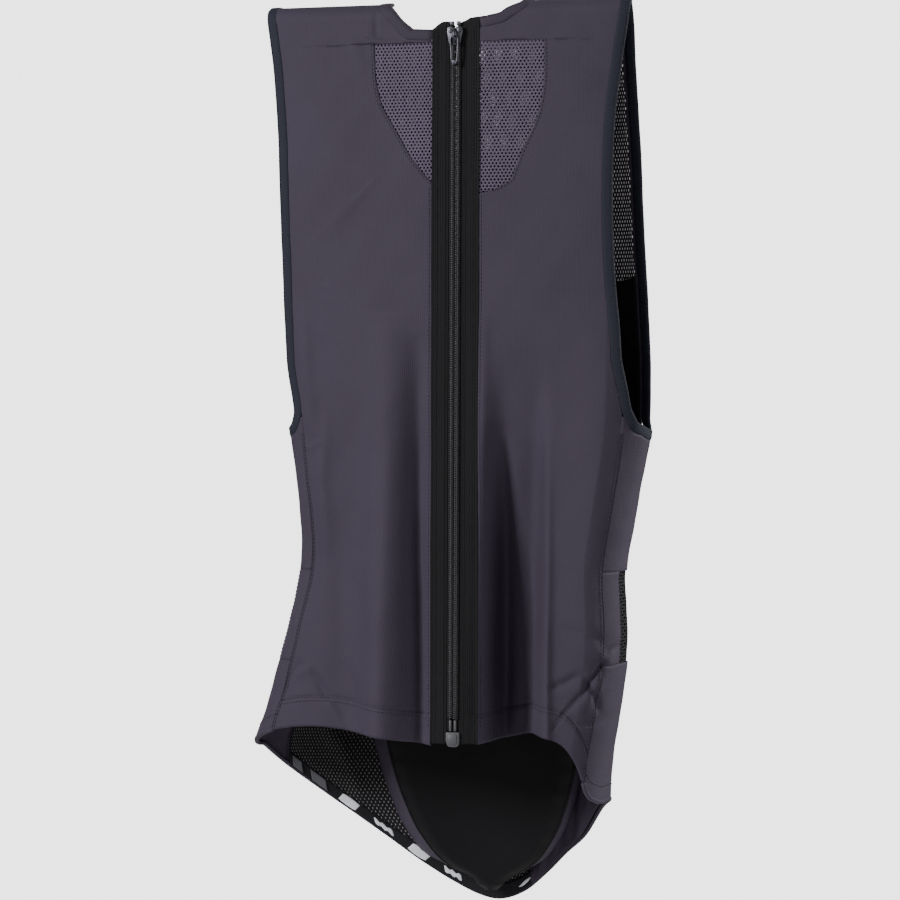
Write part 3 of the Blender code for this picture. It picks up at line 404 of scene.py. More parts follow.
class Nodes:
    """A material's node tree, with short ways to add and join nodes."""

    def __init__(self, name, roughness, metallic=0.0, specular=0.5):
        self.material = bpy.data.materials.new(name)
        self.material.use_nodes = True
        self.tree = self.material.node_tree
        self.shader = self.tree.nodes["Principled BSDF"]
        self.shader.inputs["Roughness"].default_value = roughness
        self.shader.inputs["Metallic"].default_value = metallic
        self.shader.inputs["Specular IOR Level"].default_value = specular
        self.weave = self.add("ShaderNodeUVMap").outputs["UV"]
        self.tree.nodes["UV Map"].uv_map = "weave"
        self.place = self.add("ShaderNodeTexCoord").outputs["Object"]

    def add(self, kind, settings=None, **inputs):
        node = self.tree.nodes.new(kind)
        for key, value in (settings or {}).items():
            setattr(node, key, value)
        for key, value in inputs.items():
            self.put(node.inputs[key.replace("_", " ")], value)
        return node

    def put(self, socket, value):
        if isinstance(value, bpy.types.NodeSocket):
            self.tree.links.new(value, socket)
        else:
            socket.default_value = value

    def math(self, operation, first, second=0.0, third=0.0):
        node = self.add("ShaderNodeMath", {"operation": operation})
        for socket, value in zip(node.inputs, (first, second, third)):
            self.put(socket, value)
        return node.outputs[0]

    def noise(self, scale, detail=2.0, vector=None):
        node = self.add("ShaderNodeTexNoise", None, Scale=scale, Detail=detail)
        self.put(node.inputs["Vector"], vector or self.place)
        return node.outputs["Fac"]

    def split(self, vector):
        node = self.add("ShaderNodeSeparateXYZ")
        self.put(node.inputs[0], vector)
        return node.outputs

    def wave(self, coordinate, pitch, shift=0.0):
        """A cosine from 0 to 1 along a coordinate, one cycle each pitch."""
        angle = self.math("MULTIPLY_ADD", coordinate, 2 * math.pi / pitch, shift)
        return self.math("MULTIPLY_ADD", self.math("COSINE", angle), 0.5, 0.5)

    def ramp(self, value, low, high):
        node = self.add("ShaderNodeMapRange", None)
        self.put(node.inputs["Value"], value)
        for name, number in (("From Min", low), ("From Max", high)):
            self.put(node.inputs[name], number)
        return node.outputs["Result"]

    def mix(self, share, first, second):
        node = self.add("ShaderNodeMix", {"data_type": "RGBA"})
        self.put(node.inputs["Factor"], share)
        for socket, colour in ((node.inputs[6], first), (node.inputs[7], second)):
            self.put(socket, colour if isinstance(colour, bpy.types.NodeSocket) else (*colour, 1.0))
        return node.outputs[2]

    def finish(self, colour, height, strength, distance, roughness=None):
        self.put(self.shader.inputs["Base Color"], colour)
        bump = self.add("ShaderNodeBump", None, Strength=strength, Distance=distance, Height=height)
        self.put(self.shader.inputs["Normal"], bump.outputs["Normal"])
        if roughness is not None:
            self.put(self.shader.inputs["Roughness"], roughness)
        return self.material


def scaled(colour, factor):
    return tuple(min(1.0, channel * factor) for channel in colour)


def knit(name, colour, roughness, pitch=0.0011, strength=0.35, mottle=0.22, specular=0.12):
    """Fine weft-knit jersey: columns of slanted loops, with a faint heather."""
    n = Nodes(name, roughness, specular=specular)
    u, v, _ = n.split(n.weave)
    slant = n.math("ABSOLUTE", n.math("SINE", n.math("MULTIPLY", u, math.pi / pitch)))
    courses = n.wave(n.math("MULTIPLY_ADD", slant, 0.45 * pitch, v), 0.85 * pitch)
    loops = n.math("MULTIPLY", slant, n.math("MULTIPLY_ADD", courses, 0.6, 0.4))
    heather = n.noise(2600.0, 1.0)
    patches = n.noise(16.0, 4.0)
    shade = n.math("MULTIPLY_ADD", loops, 0.30, n.math("MULTIPLY", heather, 0.30))
    shade = n.math("MULTIPLY_ADD", patches, mottle, n.math("MULTIPLY", shade, 0.9))
    tone = n.mix(n.ramp(shade, 0.15, 0.75), scaled(colour, 0.68), scaled(colour, 1.32))
    height = n.math("MULTIPLY_ADD", heather, 0.35, loops)
    return n.finish(tone, height, strength, 0.0004)


def holed(name, colour, hole_light, pitch=0.0027, size=0.30):
    """Knitted mesh shown as rows of staggered holes, each shifted by half a pitch. The holes are painted light: painted
    light seen through them.
    """
    n = Nodes(name, 0.8, specular=0.05)
    u, v, _ = n.split(n.weave)
    rows = 0.86 * pitch
    first = n.math("MULTIPLY", n.wave(u, pitch), n.wave(v, 2 * rows))
    second = n.math("MULTIPLY", n.wave(u, pitch, math.pi), n.wave(v, 2 * rows, math.pi))
    near = n.math("MAXIMUM", first, second)
    hole = n.ramp(near, 1 - size, 1 - size + 0.16)
    fibre = n.noise(1900.0, 2.0)
    patches = n.noise(13.0, 3.0)
    yarn = n.mix(n.math("MULTIPLY", fibre, 0.8), scaled(colour, 0.6), scaled(colour, 1.5))
    # The holes' colour is painted light seen through them.
    light = n.mix(patches, scaled(hole_light, 0.55), scaled(hole_light, 1.3))
    tone = n.mix(hole, yarn, light)
    height = n.math("SUBTRACT", n.math("MULTIPLY", fibre, 0.3), hole)
    return n.finish(tone, height, 0.6, 0.0007)


def ribbed(name, colour, roughness, pitch, strength=0.5, across=True):
    """Woven tape: ribs one way, threads the other."""
    n = Nodes(name, roughness, specular=0.12)
    u, v, _ = n.split(n.weave)
    ribs = n.wave(u if across else v, pitch)
    threads = n.wave(v if across else u, pitch * 0.55)
    fibre = n.noise(2200.0, 2.0)
    weave = n.math("MULTIPLY_ADD", threads, 0.35, n.math("MULTIPLY", ribs, 0.65))
    shade = n.math("MULTIPLY_ADD", fibre, 0.35, n.math("MULTIPLY", weave, 0.6))
    tone = n.mix(shade, scaled(colour, 0.55), scaled(colour, 1.5))
    return n.finish(tone, weave, strength, 0.0004)


def moulded(name, colour, roughness, metallic=0.0, scratch_highlight=0.25, grain=900.0):
    """Plastic or metal with fine grain and small scratches, the scratches painted lighter as painted highlights."""
    n = Nodes(name, roughness, metallic)
    fine = n.noise(grain, 3.0)
    broad = n.noise(140.0, 3.0)
    stretched = n.add("ShaderNodeMapping", None, Scale=(1.0, 1.0, 0.08))
    n.put(stretched.inputs["Vector"], n.place)
    scratch = n.noise(2400.0, 2.0, stretched.outputs["Vector"])
    marks = n.ramp(scratch, 0.62, 0.74)
    tone = n.mix(n.math("MULTIPLY", broad, 0.7), scaled(colour, 0.75), scaled(colour, 1.2))
    # Scratches are painted up to twice as light, as painted highlights.
    tone = n.mix(n.math("MULTIPLY", marks, scratch_highlight), tone, scaled(colour, 2.0))
    rough = n.math("MULTIPLY_ADD", fine, 0.25, max(roughness - 0.10, 0.05))
    height = n.math("SUBTRACT", fine, n.math("MULTIPLY", marks, 0.6))
    return n.finish(tone, height, 0.12, 0.0002, roughness=rough)


def foam(name, colour, cell, strength=0.6):
    """Foam: rounded cells of two sizes."""
    n = Nodes(name, 0.9, specular=0.1)
    cells = n.add("ShaderNodeTexVoronoi", None, Scale=1 / cell)
    n.put(cells.inputs["Vector"], n.place)
    fine = n.noise(3.0 / cell, 2.0)
    shade = n.math("MULTIPLY_ADD", cells.outputs["Distance"], 0.7, n.math("MULTIPLY", fine, 0.4))
    tone = n.mix(shade, scaled(colour, 1.35), scaled(colour, 0.6))
    height = n.math("MULTIPLY", cells.outputs["Distance"], -1.0)
    return n.finish(tone, height, strength, cell)


SHELL = (0.041, 0.033, 0.050)
MATERIALS = {
    "shell": knit("shell_jersey", SHELL, 0.72),
    "shell_inside": knit("shell_jersey_inside", scaled(SHELL, 0.8), 0.85),
    # The insert's yarn is painted 2.1 times as light as the shell's: painted sheen on its strands.
    "insert": knit("insert_yarn_painted_sheen", scaled(SHELL, 2.1), 0.7, pitch=0.0006, strength=0.5, mottle=0.35),
    # Both meshes' holes are painted as light dots, painted light seen through them, brightest on the yoke.
    "mesh": holed("lining_mesh", (0.012, 0.012, 0.013), (0.16, 0.15, 0.16)),
    "yoke_mesh": holed("yoke_mesh_knit", (0.014, 0.013, 0.015), (0.72, 0.69, 0.72), pitch=0.0031, size=0.36),
    "vent": knit("vent_yarn", (0.010, 0.010, 0.012), 0.8, pitch=0.0006, strength=0.5),
    # The lining's middle part is near-black: painted shade for the shadow inside the back.
    "lining": knit("lining_jersey_painted_shade", (0.0075, 0.0075, 0.008), 0.9, specular=0.04),
    "binding": ribbed("elastic_binding", (0.016, 0.017, 0.026), 0.75, 0.0014, across=False),
    "neck_band": ribbed("neck_band_jersey", scaled(SHELL, 0.82), 0.75, 0.0012, across=False, strength=0.3),
    "tape": ribbed("zip_tape_weave", (0.0085, 0.0085, 0.0095), 0.8, 0.0012, 0.7),
    "coil": moulded("zip_coil_nylon", (0.022, 0.022, 0.025), 0.42, scratch_highlight=0.15),
    "metal": moulded("zip_gunmetal", (0.075, 0.075, 0.088), 0.36, metallic=0.9, scratch_highlight=0.5),
    "plastic": moulded("zip_plastic_grey", (0.050, 0.050, 0.056), 0.5, scratch_highlight=0.3),
    "cover": knit("pocket_tricot", (0.0058, 0.0056, 0.0068), 0.52, pitch=0.0008, strength=0.2, specular=0.10),
    "grip": ribbed("grip_elastic", (0.010, 0.010, 0.0125), 0.75, 0.0011, across=False),
    "silicone": moulded("silicone_print", (0.62, 0.63, 0.68), 0.42, scratch_highlight=0.05, grain=1500.0),
    "label": ribbed("label_satin", (0.085, 0.085, 0.095), 0.6, 0.0008, 0.4),
    "thread": ribbed("sewing_thread", scaled(SHELL, 0.55), 0.7, 0.0004, strength=0.4),
    "dark_thread": ribbed("dark_thread", (0.012, 0.012, 0.016), 0.7, 0.0004, strength=0.4),
    "foam": foam("pad_foam_cells", (0.020, 0.020, 0.023), 0.0016),
    "core": foam("pad_core_cells", (0.21, 0.13, 0.035), 0.0024, 0.35),
    "hook": ribbed("hook_and_loop", (0.012, 0.012, 0.014), 0.85, 0.0016, strength=1.0),
}

# ---------------------------------------------------------------- mesh building


def add_object(name, vertices, faces, uv, material, smooth=True):
    """A piece from its vertices and faces, with a place in the weave for each vertex."""
    data = bpy.data.meshes.new(name)
    data.from_pydata(np.asarray(vertices, float).reshape(-1, 3).tolist(), [], faces)
    layer = data.uv_layers.new(name="weave")
    loops = np.zeros(len(data.loops), np.int32)
    data.loops.foreach_get("vertex_index", loops)
    layer.data.foreach_set("uv", np.asarray(uv, np.float32)[loops].ravel())
    data.materials.append(MATERIALS[material])
    if smooth:
        data.shade_smooth()
    obj = bpy.data.objects.new(name, data)
    bpy.context.scene.collection.objects.link(obj)
    return obj


def quads(rows, columns, wrap=False):
    """Corner indices of a grid's faces, with the first column joined to the last if wrap is true."""
    faces = []
    for i in range(rows - 1):
        for j in range(columns if wrap else columns - 1):
            k = (j + 1) % columns
            faces.append((i * columns + j, (i + 1) * columns + j, (i + 1) * columns + k, i * columns + k))
    return faces


def sheet_faces(rows, columns):
    """Faces of a closed sheet: an outer grid, the same grid turned round for its inner face, and its rim."""
    count = rows * columns
    faces = quads(rows, columns)
    faces += [tuple(count + c for c in face[::-1]) for face in faces]
    edge = [i * columns for i in range(rows)]
    edge += [(rows - 1) * columns + j for j in range(1, columns)]
    edge += [i * columns + columns - 1 for i in range(rows - 2, -1, -1)]
    edge += list(range(columns - 2, 0, -1))
    return faces + [(b, a, count + a, count + b) for a, b in zip(edge, edge[1:] + edge[:1])]


def sheet_object(name, outer, inner, uv, material):
    """A closed sheet between two grids of points."""
    vertices = np.concatenate([outer.reshape(-1, 3), inner.reshape(-1, 3)])
    flat = uv.reshape(-1, 2)
    return add_object(name, vertices, sheet_faces(*outer.shape[:2]), np.concatenate([flat, flat]), material)


def grid_normals(points):
    """Unit normals of a grid, out of the vest where its columns run with the angle and its rows with the drop."""
    return unit(np.cross(np.gradient(points, axis=0), np.gradient(points, axis=1)))


def closed_grid(name, points, uv, thickness, material, normals=None):
    """A sheet of cloth: a grid of points on its outer face, given thickness inwards, with closed edges."""
    normals = grid_normals(points) if normals is None else normals
    return sheet_object(name, points, points - thickness * normals, uv, material)


def region(edges, top, bottom, rows, columns, ease=1.0):
    """Angles and drops of a grid between two edges, given as angles at a drop, and a top and bottom."""
    down = np.linspace(0, 1, rows)[:, None] ** ease
    across = np.linspace(0, 1, columns)[None, :]
    start = np.zeros((1, 1))
    drop = top(start) + (bottom(start) - top(start)) * down + 0 * across
    for _ in range(SETTLE_ROUNDS):
        first, last = edges(drop)
        angle = first + (last - first) * across
        drop = 0.5 * drop + 0.5 * (top(angle) + (bottom(angle) - top(angle)) * down)
    return angle, drop


def weave_uv(angle, drop):
    """Places along and down the cloth, in metres, for the weave."""
    return np.stack([np.radians(angle) * WEAVE_RADIUS, drop + 0 * angle], axis=-1)


def level(drop):
    return lambda angle: drop + 0.0 * angle


def mirrored(side, inner, outer):
    """Edges of a piece on one side, in order of growing angle."""
    if side > 0:
        return lambda drop: (inner(drop), outer(drop))
    return lambda drop: (-outer(drop), -inner(drop))


def from_middle(side, x):
    """An edge given by its distance from the middle, as a positive angle on that side."""
    return lambda drop: np.abs(angle_at(side * (x(drop) if callable(x) else x), drop))


def evenly(path, spacing, closed=False):
    """The path's points read again at even spacing."""
    path = np.asarray(path, float)
    if closed:
        path = np.concatenate([path, path[:1]])
    length = lengths_along(path[:, :3])
    count = max(4, int(round(length[-1] / spacing)) + 1)
    at = np.linspace(0, length[-1], count)
    if closed:
        at = at[:-1]
    return np.stack([np.interp(at, length, path[:, k]) for k in range(path.shape[1])], axis=1)


def smoothed(values, rounds, closed=False):
    for _ in range(rounds):
        if closed:
            values = (np.roll(values, 1, axis=0) + 2 * values + np.roll(values, -1, axis=0)) / 4
        else:
            values = values.copy()
            values[1:-1] = (values[:-2] + 2 * values[1:-1] + values[2:]) / 4
    return values


def path_frames(path, normals, closed=False):
    """The direction along a path, out of the cloth, and across the path in the cloth."""
    if closed:
        along = np.roll(path, -1, axis=0) - np.roll(path, 1, axis=0)
    else:
        along = np.gradient(path, axis=0)
    along = unit(along)
    normals = smoothed(normals, 6, closed)
    normals = unit(normals - (normals * along).sum(axis=1, keepdims=True) * along)
    return along, normals, np.cross(normals, along)


def sweep(name, path, normals, profile, material, closed=False):
    """A band swept along a path. Its profile is a closed loop of (across, out of the cloth) places."""
    _, out, across = path_frames(path, normals, closed)
    profile = np.asarray(profile, float)
    points = path[:, None, :] + profile[None, :, :1] * across[:, None, :] + profile[None, :, 1:] * out[:, None, :]
    rows, columns = points.shape[:2]
    faces = quads(rows, columns, wrap=True)
    last = (rows - 1) * columns
    if closed:
        faces += [(last + j, j, (j + 1) % columns, last + (j + 1) % columns) for j in range(columns)]
    else:
        faces += [tuple(range(columns)), tuple(last + j for j in range(columns))[::-1]]
    around = lengths_along(profile)
    uv = np.stack(np.broadcast_arrays(around[None, :], lengths_along(path)[:, None]), axis=-1).reshape(-1, 2)
    return make_consistent(add_object(name, points, faces, uv, material))


def make_consistent(obj):
    """Turns a closed mesh's faces to point out."""
    data = obj.data
    data.calc_loop_triangles()
    corners = np.array([[data.vertices[i].co[:] for i in t.vertices] for t in data.loop_triangles], float)
    volume = np.einsum("ij,ij->i", corners[:, 0], np.cross(corners[:, 1], corners[:, 2])).sum()
    if volume < 0:
        data.flip_normals()
    return obj


def loop_profile(low, high, thick, count=14, power=2.6):
    """A flat band's cross-section: a rounded, slightly plump oblong from low to high."""
    turn_by = np.linspace(0, 2 * math.pi, count, endpoint=False)
    c, s = np.cos(turn_by), np.sin(turn_by)
    x = np.sign(c) * np.abs(c) ** (2 / power)
    y = np.sign(s) * np.abs(s) ** (2 / power)
    return np.stack([(low + high) / 2 + (high - low) / 2 * x, thick / 2 * y], axis=1)


def stitches(name, path, normals, stitch, material="thread", slant=0.0, closed=False):
    """A row of sewn stitches, each a small spindle. A stitch is its pitch, length and thickness."""
    pitch, length, thick = stitch
    joined = evenly(np.concatenate([path, normals], axis=1), pitch, closed)
    path, normals = joined[:, :3], unit(joined[:, 3:])
    along, out, across = path_frames(path, normals, closed)
    way = unit(along + slant * across)
    side = np.cross(out, way)
    around = np.linspace(0, 2 * math.pi, 5, endpoint=False)
    rings = ((-0.42, 0.75), (0.0, 1.0), (0.42, 0.75))
    template = [(-0.5, 0.0, 0.0)]
    template += [(t, r * math.cos(a), r * math.sin(a)) for t, r in rings for a in around]
    template += [(0.5, 0.0, 0.0)]
    template = np.array(template)
    ring = lambda k, j: 1 + 5 * k + j % 5
    shape = [(0, ring(0, j + 1), ring(0, j)) for j in range(5)]
    for k in range(2):
        shape += [(ring(k, j), ring(k, j + 1), ring(k + 1, j + 1), ring(k + 1, j)) for j in range(5)]
    count = len(template)
    shape += [(count - 1, ring(2, j), ring(2, j + 1)) for j in range(5)]
    bowed = -0.3 * thick * (2 * template[:, 0]) ** 2
    places = (
        path[:, None]
        + length * template[None, :, 0, None] * way[:, None]
        + thick / 2 * template[None, :, 1, None] * side[:, None]
        + (thick / 2 * template[None, :, 2, None] + bowed[None, :, None]) * out[:, None]
    )
    faces = [tuple(count * k + c for c in face) for k in range(len(path)) for face in shape]
    uv = np.tile(np.stack([template[:, 0] * length, template[:, 1] * thick], axis=1), (len(path), 1))
    return add_object(name, places, faces, uv, material)


def tube(name, path, radius, material, sides=8, closed=False, up=(0, -1, 0)):
    """A round wire along a path."""
    turn_by = np.linspace(0, 2 * math.pi, sides, endpoint=False)
    profile = np.stack([radius * np.cos(turn_by), radius * np.sin(turn_by)], axis=1)
    return sweep(name, path, np.tile(np.asarray(up, float), (len(path), 1)), profile, material, closed)


def prism(name, outline, low, high, material, bevel=0.0004, segments=3):
    """A moulded plate in the zip's frame: an outline of (x, down) places between two heights, with soft edges."""
    count = len(outline)
    vertices = [ZIP @ Vector((x, height, down)) for height in (low, high) for x, down in outline]
    faces = [tuple(range(count)), tuple(range(2 * count - 1, count - 1, -1))]
    faces += [(i, count + i, count + (i + 1) % count, (i + 1) % count) for i in range(count)]
    uv = [(x, down) for _ in range(2) for x, down in outline]
    obj = make_consistent(add_object(name, [v[:] for v in vertices], faces, uv, material, smooth=False))
    soften = obj.modifiers.new("soft edges", "BEVEL")
    soften.width = bevel
    soften.segments = segments
    soften.limit_method = "ANGLE"
    return settle(obj)


def rounded_box(name, low, high, material, bevel):
    outline = [(low[0], low[2]), (high[0], low[2]), (high[0], high[2]), (low[0], high[2])]
    return prism(name, outline, low[1], high[1], material, bevel)


def settle(obj):
    """Applies a piece's modifiers."""
    graph = bpy.context.evaluated_depsgraph_get()
    data = bpy.data.meshes.new_from_object(obj.evaluated_get(graph), depsgraph=graph)
    obj.modifiers.clear()
    obj.data = data
    obj.data.shade_smooth()
    return obj


def join(name, pieces):
    """One piece made of several, whose meshes may pass into each other."""
    first = pieces[0]
    with bpy.context.temp_override(active_object=first, object=first, selected_editable_objects=pieces):
        bpy.ops.object.join()
    first.name = name
    first.data.name = name
    return first


def perforated(name, place, u_range, v_range, inside, hole, material):
    """Knitted mesh with real holes: hexagonal cells, each with a round hole, where inside(u, v) holds."""
    cells = []
    for i, v in enumerate(np.arange(*v_range, MESH_PITCH * 0.866)):
        for u in np.arange(u_range[0] + (MESH_PITCH / 2 if i % 2 else 0), u_range[1], MESH_PITCH):
            if inside(u, v):
                cells.append((u, v))
    cells = np.array(cells)
    corner, middle = np.radians(30 + 60 * np.arange(6)), np.radians(60 * np.arange(6))
    corner, middle = (np.stack([np.cos(a), np.sin(a)], axis=1) for a in (corner, middle))
    outer = (cells[:, None] + corner[None] * MESH_PITCH / math.sqrt(3)).reshape(-1, 2)
    _, first, index = np.unique(np.round(outer * 1e5).astype(int), axis=0, return_index=True, return_inverse=True)
    index = index.reshape(len(cells), 6)
    flat, faces = [outer[first]], []
    for k, cell in enumerate(cells):
        at = len(first) + 12 * k
        flat += [cell + corner * hole, cell + middle * hole]
        for j in range(6):
            nxt = (j + 1) % 6
            faces.append(tuple(int(c) for c in (index[k, j], index[k, nxt], at + nxt, at + 6 + nxt, at + j)))
    flat = np.concatenate(flat)
    obj = add_object(name, place(flat[:, 0], flat[:, 1]), faces, flat, material)
    thicken = obj.modifiers.new("yarn", "SOLIDIFY")
    thicken.thickness = MESH_THICK
    thicken.offset = 0.0
    thicken.use_even_offset = False
    return make_consistent(settle(obj))


# ---------------------------------------------------------------- carrying pieces, and sheets, rows and bands


def side_name(side):
    return "left" if side > 0 else "right"


def finish(obj, slot, *nodes, on="vest"):
    """Hides the CAD nodes that a piece stands for, and gives it what carries it. Its slot is not used.

    That is a body by its name; for 1 and -1 the piece is left unparented, with its place baked in.
    """
    if nodes:
        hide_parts(*nodes)
    if isinstance(on, str):
        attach(obj, on)
    else:
        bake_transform(obj)
    return obj


def declare_sheet(obj, points):
    """Works out how wide and long a piece's outer face is when laid flat, and its area, but does nothing with them."""
    wide = np.linalg.norm(np.diff(points, axis=1), axis=-1).sum(axis=1).max()
    long = np.linalg.norm(np.diff(points, axis=0), axis=-1).sum(axis=0).max()
    down, across = np.diff(points, axis=0)[:, :-1], np.diff(points, axis=1)[:-1]
    area = float(np.linalg.norm(np.cross(down, across), axis=-1).sum())
    flat = (max(round(float(wide), 3), LEAST_FLAT), max(round(float(long), 3), LEAST_FLAT))
    area = min(max(area, LEAST_SHARE * flat[0] * flat[1]), flat[0] * flat[1])
    return obj


def declare_band(path, closed=False):
    """Closes a band's path when it is closed, and does nothing more."""
    if closed:
        path = np.concatenate([path, path[:1]])


def cloth(
    name, nodes, edges, top, bottom, size, material, slot,
    on="vest", lift=0.0, thickness=CLOTH, ease=1.0,
):
    """A sheet that lies on the folded torso, lifted by a height or by a function of the angle."""
    angle, drop = region(edges, top, bottom, *size, ease)
    points = cloth_point(angle, drop, lift(angle) if callable(lift) else lift)
    obj = finish(closed_grid(name, points, weave_uv(angle, drop), thickness, material), slot, *nodes, on=on)
    return declare_sheet(obj, points)


def sew(name, angles, drops, stitch, on="vest", slant=0.0, lift=0.0002):
    """A row of stitches on the folded cloth."""
    row = stitches(name, cloth_point(angles, drops, lift), outwards(angles, drops), stitch, slant=slant)
    finish(row, "shell_cloth", on=on)


def sew_seam(name, seam, side, start, count):
    """A row of slanted stitches on each side of a seam, from a drop to the hem."""
    drops = np.linspace(start, float(hem(side * seam)) - 0.003, count)
    for label, offset in (("front", -0.9), ("rear", 0.9)):
        angles = side * (seam + offset) + 0 * drops
        sew(f"{name}_seam_{label}_{side_name(side)}", angles, drops, SIDE_STITCH, slant=0.25)


def evened_edge(angles, drops, lift, spacing, closed=False):
    """A path along an edge of the cloth, and the cloth's normals on it, at even spacing."""
    joined = np.concatenate([cloth_point(angles, drops, lift), outwards(angles, np.maximum(drops, 0.003))], axis=1)
    joined = evenly(joined, spacing, closed)
    if closed:
        joined[:, :3] = smoothed(joined[:, :3], 3, closed=True)
    return joined[:, :3], joined[:, 3:]


def edging(names, node, edge, look, inward, on="vest", closed=False):
    """A band folded over the cloth's edge, and its row of stitches. Inward is 1 or -1 across the path."""
    path, normals = edge
    profile = loop_profile(*look["profile"]) * (inward, 1)
    band = finish(sweep(names[0], path, normals, profile, look["material"], closed), look["slot"], node, on=on)
    declare_band(path, closed)
    _, out, across = path_frames(path, normals, closed)
    row = path + EDGING_ROW * inward * across + look["raised"] * out
    sewn = stitches(names[1], row, out, look["stitch"], look["thread"], look["slant"], closed)
    finish(sewn, look["slot"], on=on)


NECK_EDGING = {
    "profile": (-0.0024, 0.0056, 0.0028), "material": "neck_band", "slot": "shell_cloth", "raised": 0.0013,
    "stitch": (0.0026, 0.0019, 0.00045), "thread": "thread", "slant": 0.0,
}
ARMHOLE_EDGING = {
    "profile": (-0.0020, 0.0058, 0.0030), "material": "binding", "slot": "binding", "raised": 0.0014,
    "stitch": (0.0027, 0.0020, 0.00045), "thread": "dark_thread", "slant": 0.5,
}

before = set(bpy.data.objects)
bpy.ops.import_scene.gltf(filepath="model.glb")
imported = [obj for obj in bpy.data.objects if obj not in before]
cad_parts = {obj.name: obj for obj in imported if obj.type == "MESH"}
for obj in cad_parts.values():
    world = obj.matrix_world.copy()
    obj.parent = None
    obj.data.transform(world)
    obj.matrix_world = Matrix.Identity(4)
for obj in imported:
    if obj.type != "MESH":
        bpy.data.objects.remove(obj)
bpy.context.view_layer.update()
down_zip = Vector((0, -FRONT_SLOPE, -1)).normalized()
out_zip = Vector((0, -1, FRONT_SLOPE)).normalized()
ZIP = Matrix((out_zip.cross(down_zip), out_zip, down_zip)).transposed().to_4x4()
ZIP = Matrix.Translation((0, -FRONT_DEPTH, 0)) @ ZIP

# ---------------------------------------------------------------- fronts


def neck_x(side):
    """The inner edge of the cloth below the neckline: beside the neck band, then along the zip's tape."""
    stations = NECKS[side]
    lowest = stations[-1][0]

    def x(drop):
        below = np.clip((drop - lowest - 0.0006) / 0.0022, 0, 1)
        return (through(stations, drop) + 0.0016) * (1 - below) + TAPE_EDGE * below

    return x


def insert_x(side):
    return lambda drop: np.maximum(through(INSERTS[side], drop), TAPE_EDGE)


def front_rows(edges, rows):
    """Angles and drops of the front's grid, whose rows are level above and follow the hem below."""
    across = np.linspace(0, 1, rows.shape[1])[None, :]
    share = eased((rows - 0.25) / 0.2)
    drop = rows
    for _ in range(SETTLE_ROUNDS):
        first, last = edges(drop)
        angle = first + (last - first) * across
        drop = 0.5 * drop + 0.5 * (rows + (hem(angle) - HEM_MIDDLE) * share)
    return angle, drop


def front(side):
    """A front's cloth in one piece, with its mesh insert, neck band, hem and rows of stitches."""
    name = side_name(side)
    insert_end = INSERTS[side][-1][0]
    low_neck = neck_x(side)
    insert, neck, tape_line = (from_middle(side, x) for x in (insert_x(side), low_neck, TAPE_EDGE))
    inner = lambda drop: np.where(drop < insert_end, insert(drop), tape_line(drop))
    outer = lambda drop: front_seam(side, drop, EDGE_CLEAR)
    whole = lambda drop: np.where(drop < INSERT_TOP + 0.0001, neck(drop), inner(drop))
    rows = np.concatenate([
        INSERT_TOP * np.linspace(0, 1, 26) ** 1.3, np.linspace(INSERT_TOP + 0.0002, 0.120, 46),
        np.linspace(0.1206, 0.1366, 28), np.linspace(0.139, 0.25, 50),
        np.linspace(0.252, 0.490, 112), np.linspace(0.4906, 0.4976, 13), np.linspace(0.499, HEM_MIDDLE, 9),
    ])
    angle, drop = front_rows(mirrored(side, whole, outer), rows[:, None] + np.zeros((1, 116)))
    points = cloth_point(angle, drop)
    body = closed_grid(
        f"front_cloth_{name}", points, weave_uv(angle, drop), CLOTH, "shell", outwards(angle, np.maximum(drop, 0.004))
    )
    nodes = [f"{node}_{name}" for node in ("front_side", "front_panel", "neck_mesh_outer")]
    finish(body, "shell_cloth", *nodes, on=side)
    declare_sheet(body, points)

    def inside(x, drop):
        edge = float(insert_x(side)(drop)) + 0.0014
        return max(float(low_neck(drop)), TAPE_EDGE) - 0.0022 < x < edge

    mesh = perforated(
        f"neck_insert_{name}", lambda x, drop: cloth_point(angle_at(side * x, drop), drop, -0.0009),
        (TAPE_EDGE - 0.003, 0.063), (INSERT_TOP - 0.001, insert_end), inside, 0.00072, "insert",
    )
    finish(mesh, "mesh_cloth", f"neck_mesh_{name}", on=side)

    # Neck band: folded cloth along the neckline, from the shoulder to the zip.
    lowest, last_x = NECKS[side][-1]
    drops = np.concatenate([lowest * np.linspace(0, 1, 60) ** 2, lowest + 0.0004 * np.linspace(0.2, 1, 6)])
    x = np.concatenate([through(NECKS[side], drops[:60]), np.linspace(last_x - 0.001, ZIP_X - 0.0040, 6)])
    sunk = -0.0006 - 0.0022 * np.clip((0.0195 - x) / 0.004, 0, 1)
    edging(
        (f"neck_band_{name}", f"neck_stitches_{name}"), f"neck_binding_{name}",
        evened_edge(angle_at(side * x, drops), drops, sunk, 0.0016), NECK_EDGING, -side, side,
    )
    hem_work(side, inner, outer)
    seam_rows(side, insert)


def hem_work(side, inner, outer):
    """The front hem's turned-up strip and its rows of stitches."""
    name = side_name(side)
    cloth(
        f"hem_turnup_{name}", [f"hem_facing_{name}"],
        mirrored(side, lambda drop: inner(drop) + 0.4, lambda drop: outer(drop) - 0.4),
        lambda a: hem(a) - HEM_DEPTH, lambda a: hem(a) - 0.0004, (12, 60), "shell_inside", "shell_cloth",
        on=side, lift=-CLOTH - 0.0003, thickness=0.0011,
    )
    angles = side * np.linspace(8.0, SIDE_SEAM - 0.6, 240)
    for row, apart in enumerate((0.0, 0.00247)):
        drops = hem(angles) - HEM_DEPTH + 0.0006 + apart
        sew(f"hem_stitches_{name}_{row + 1}", angles, drops, HEM_STITCH, side, lift=0.00022)


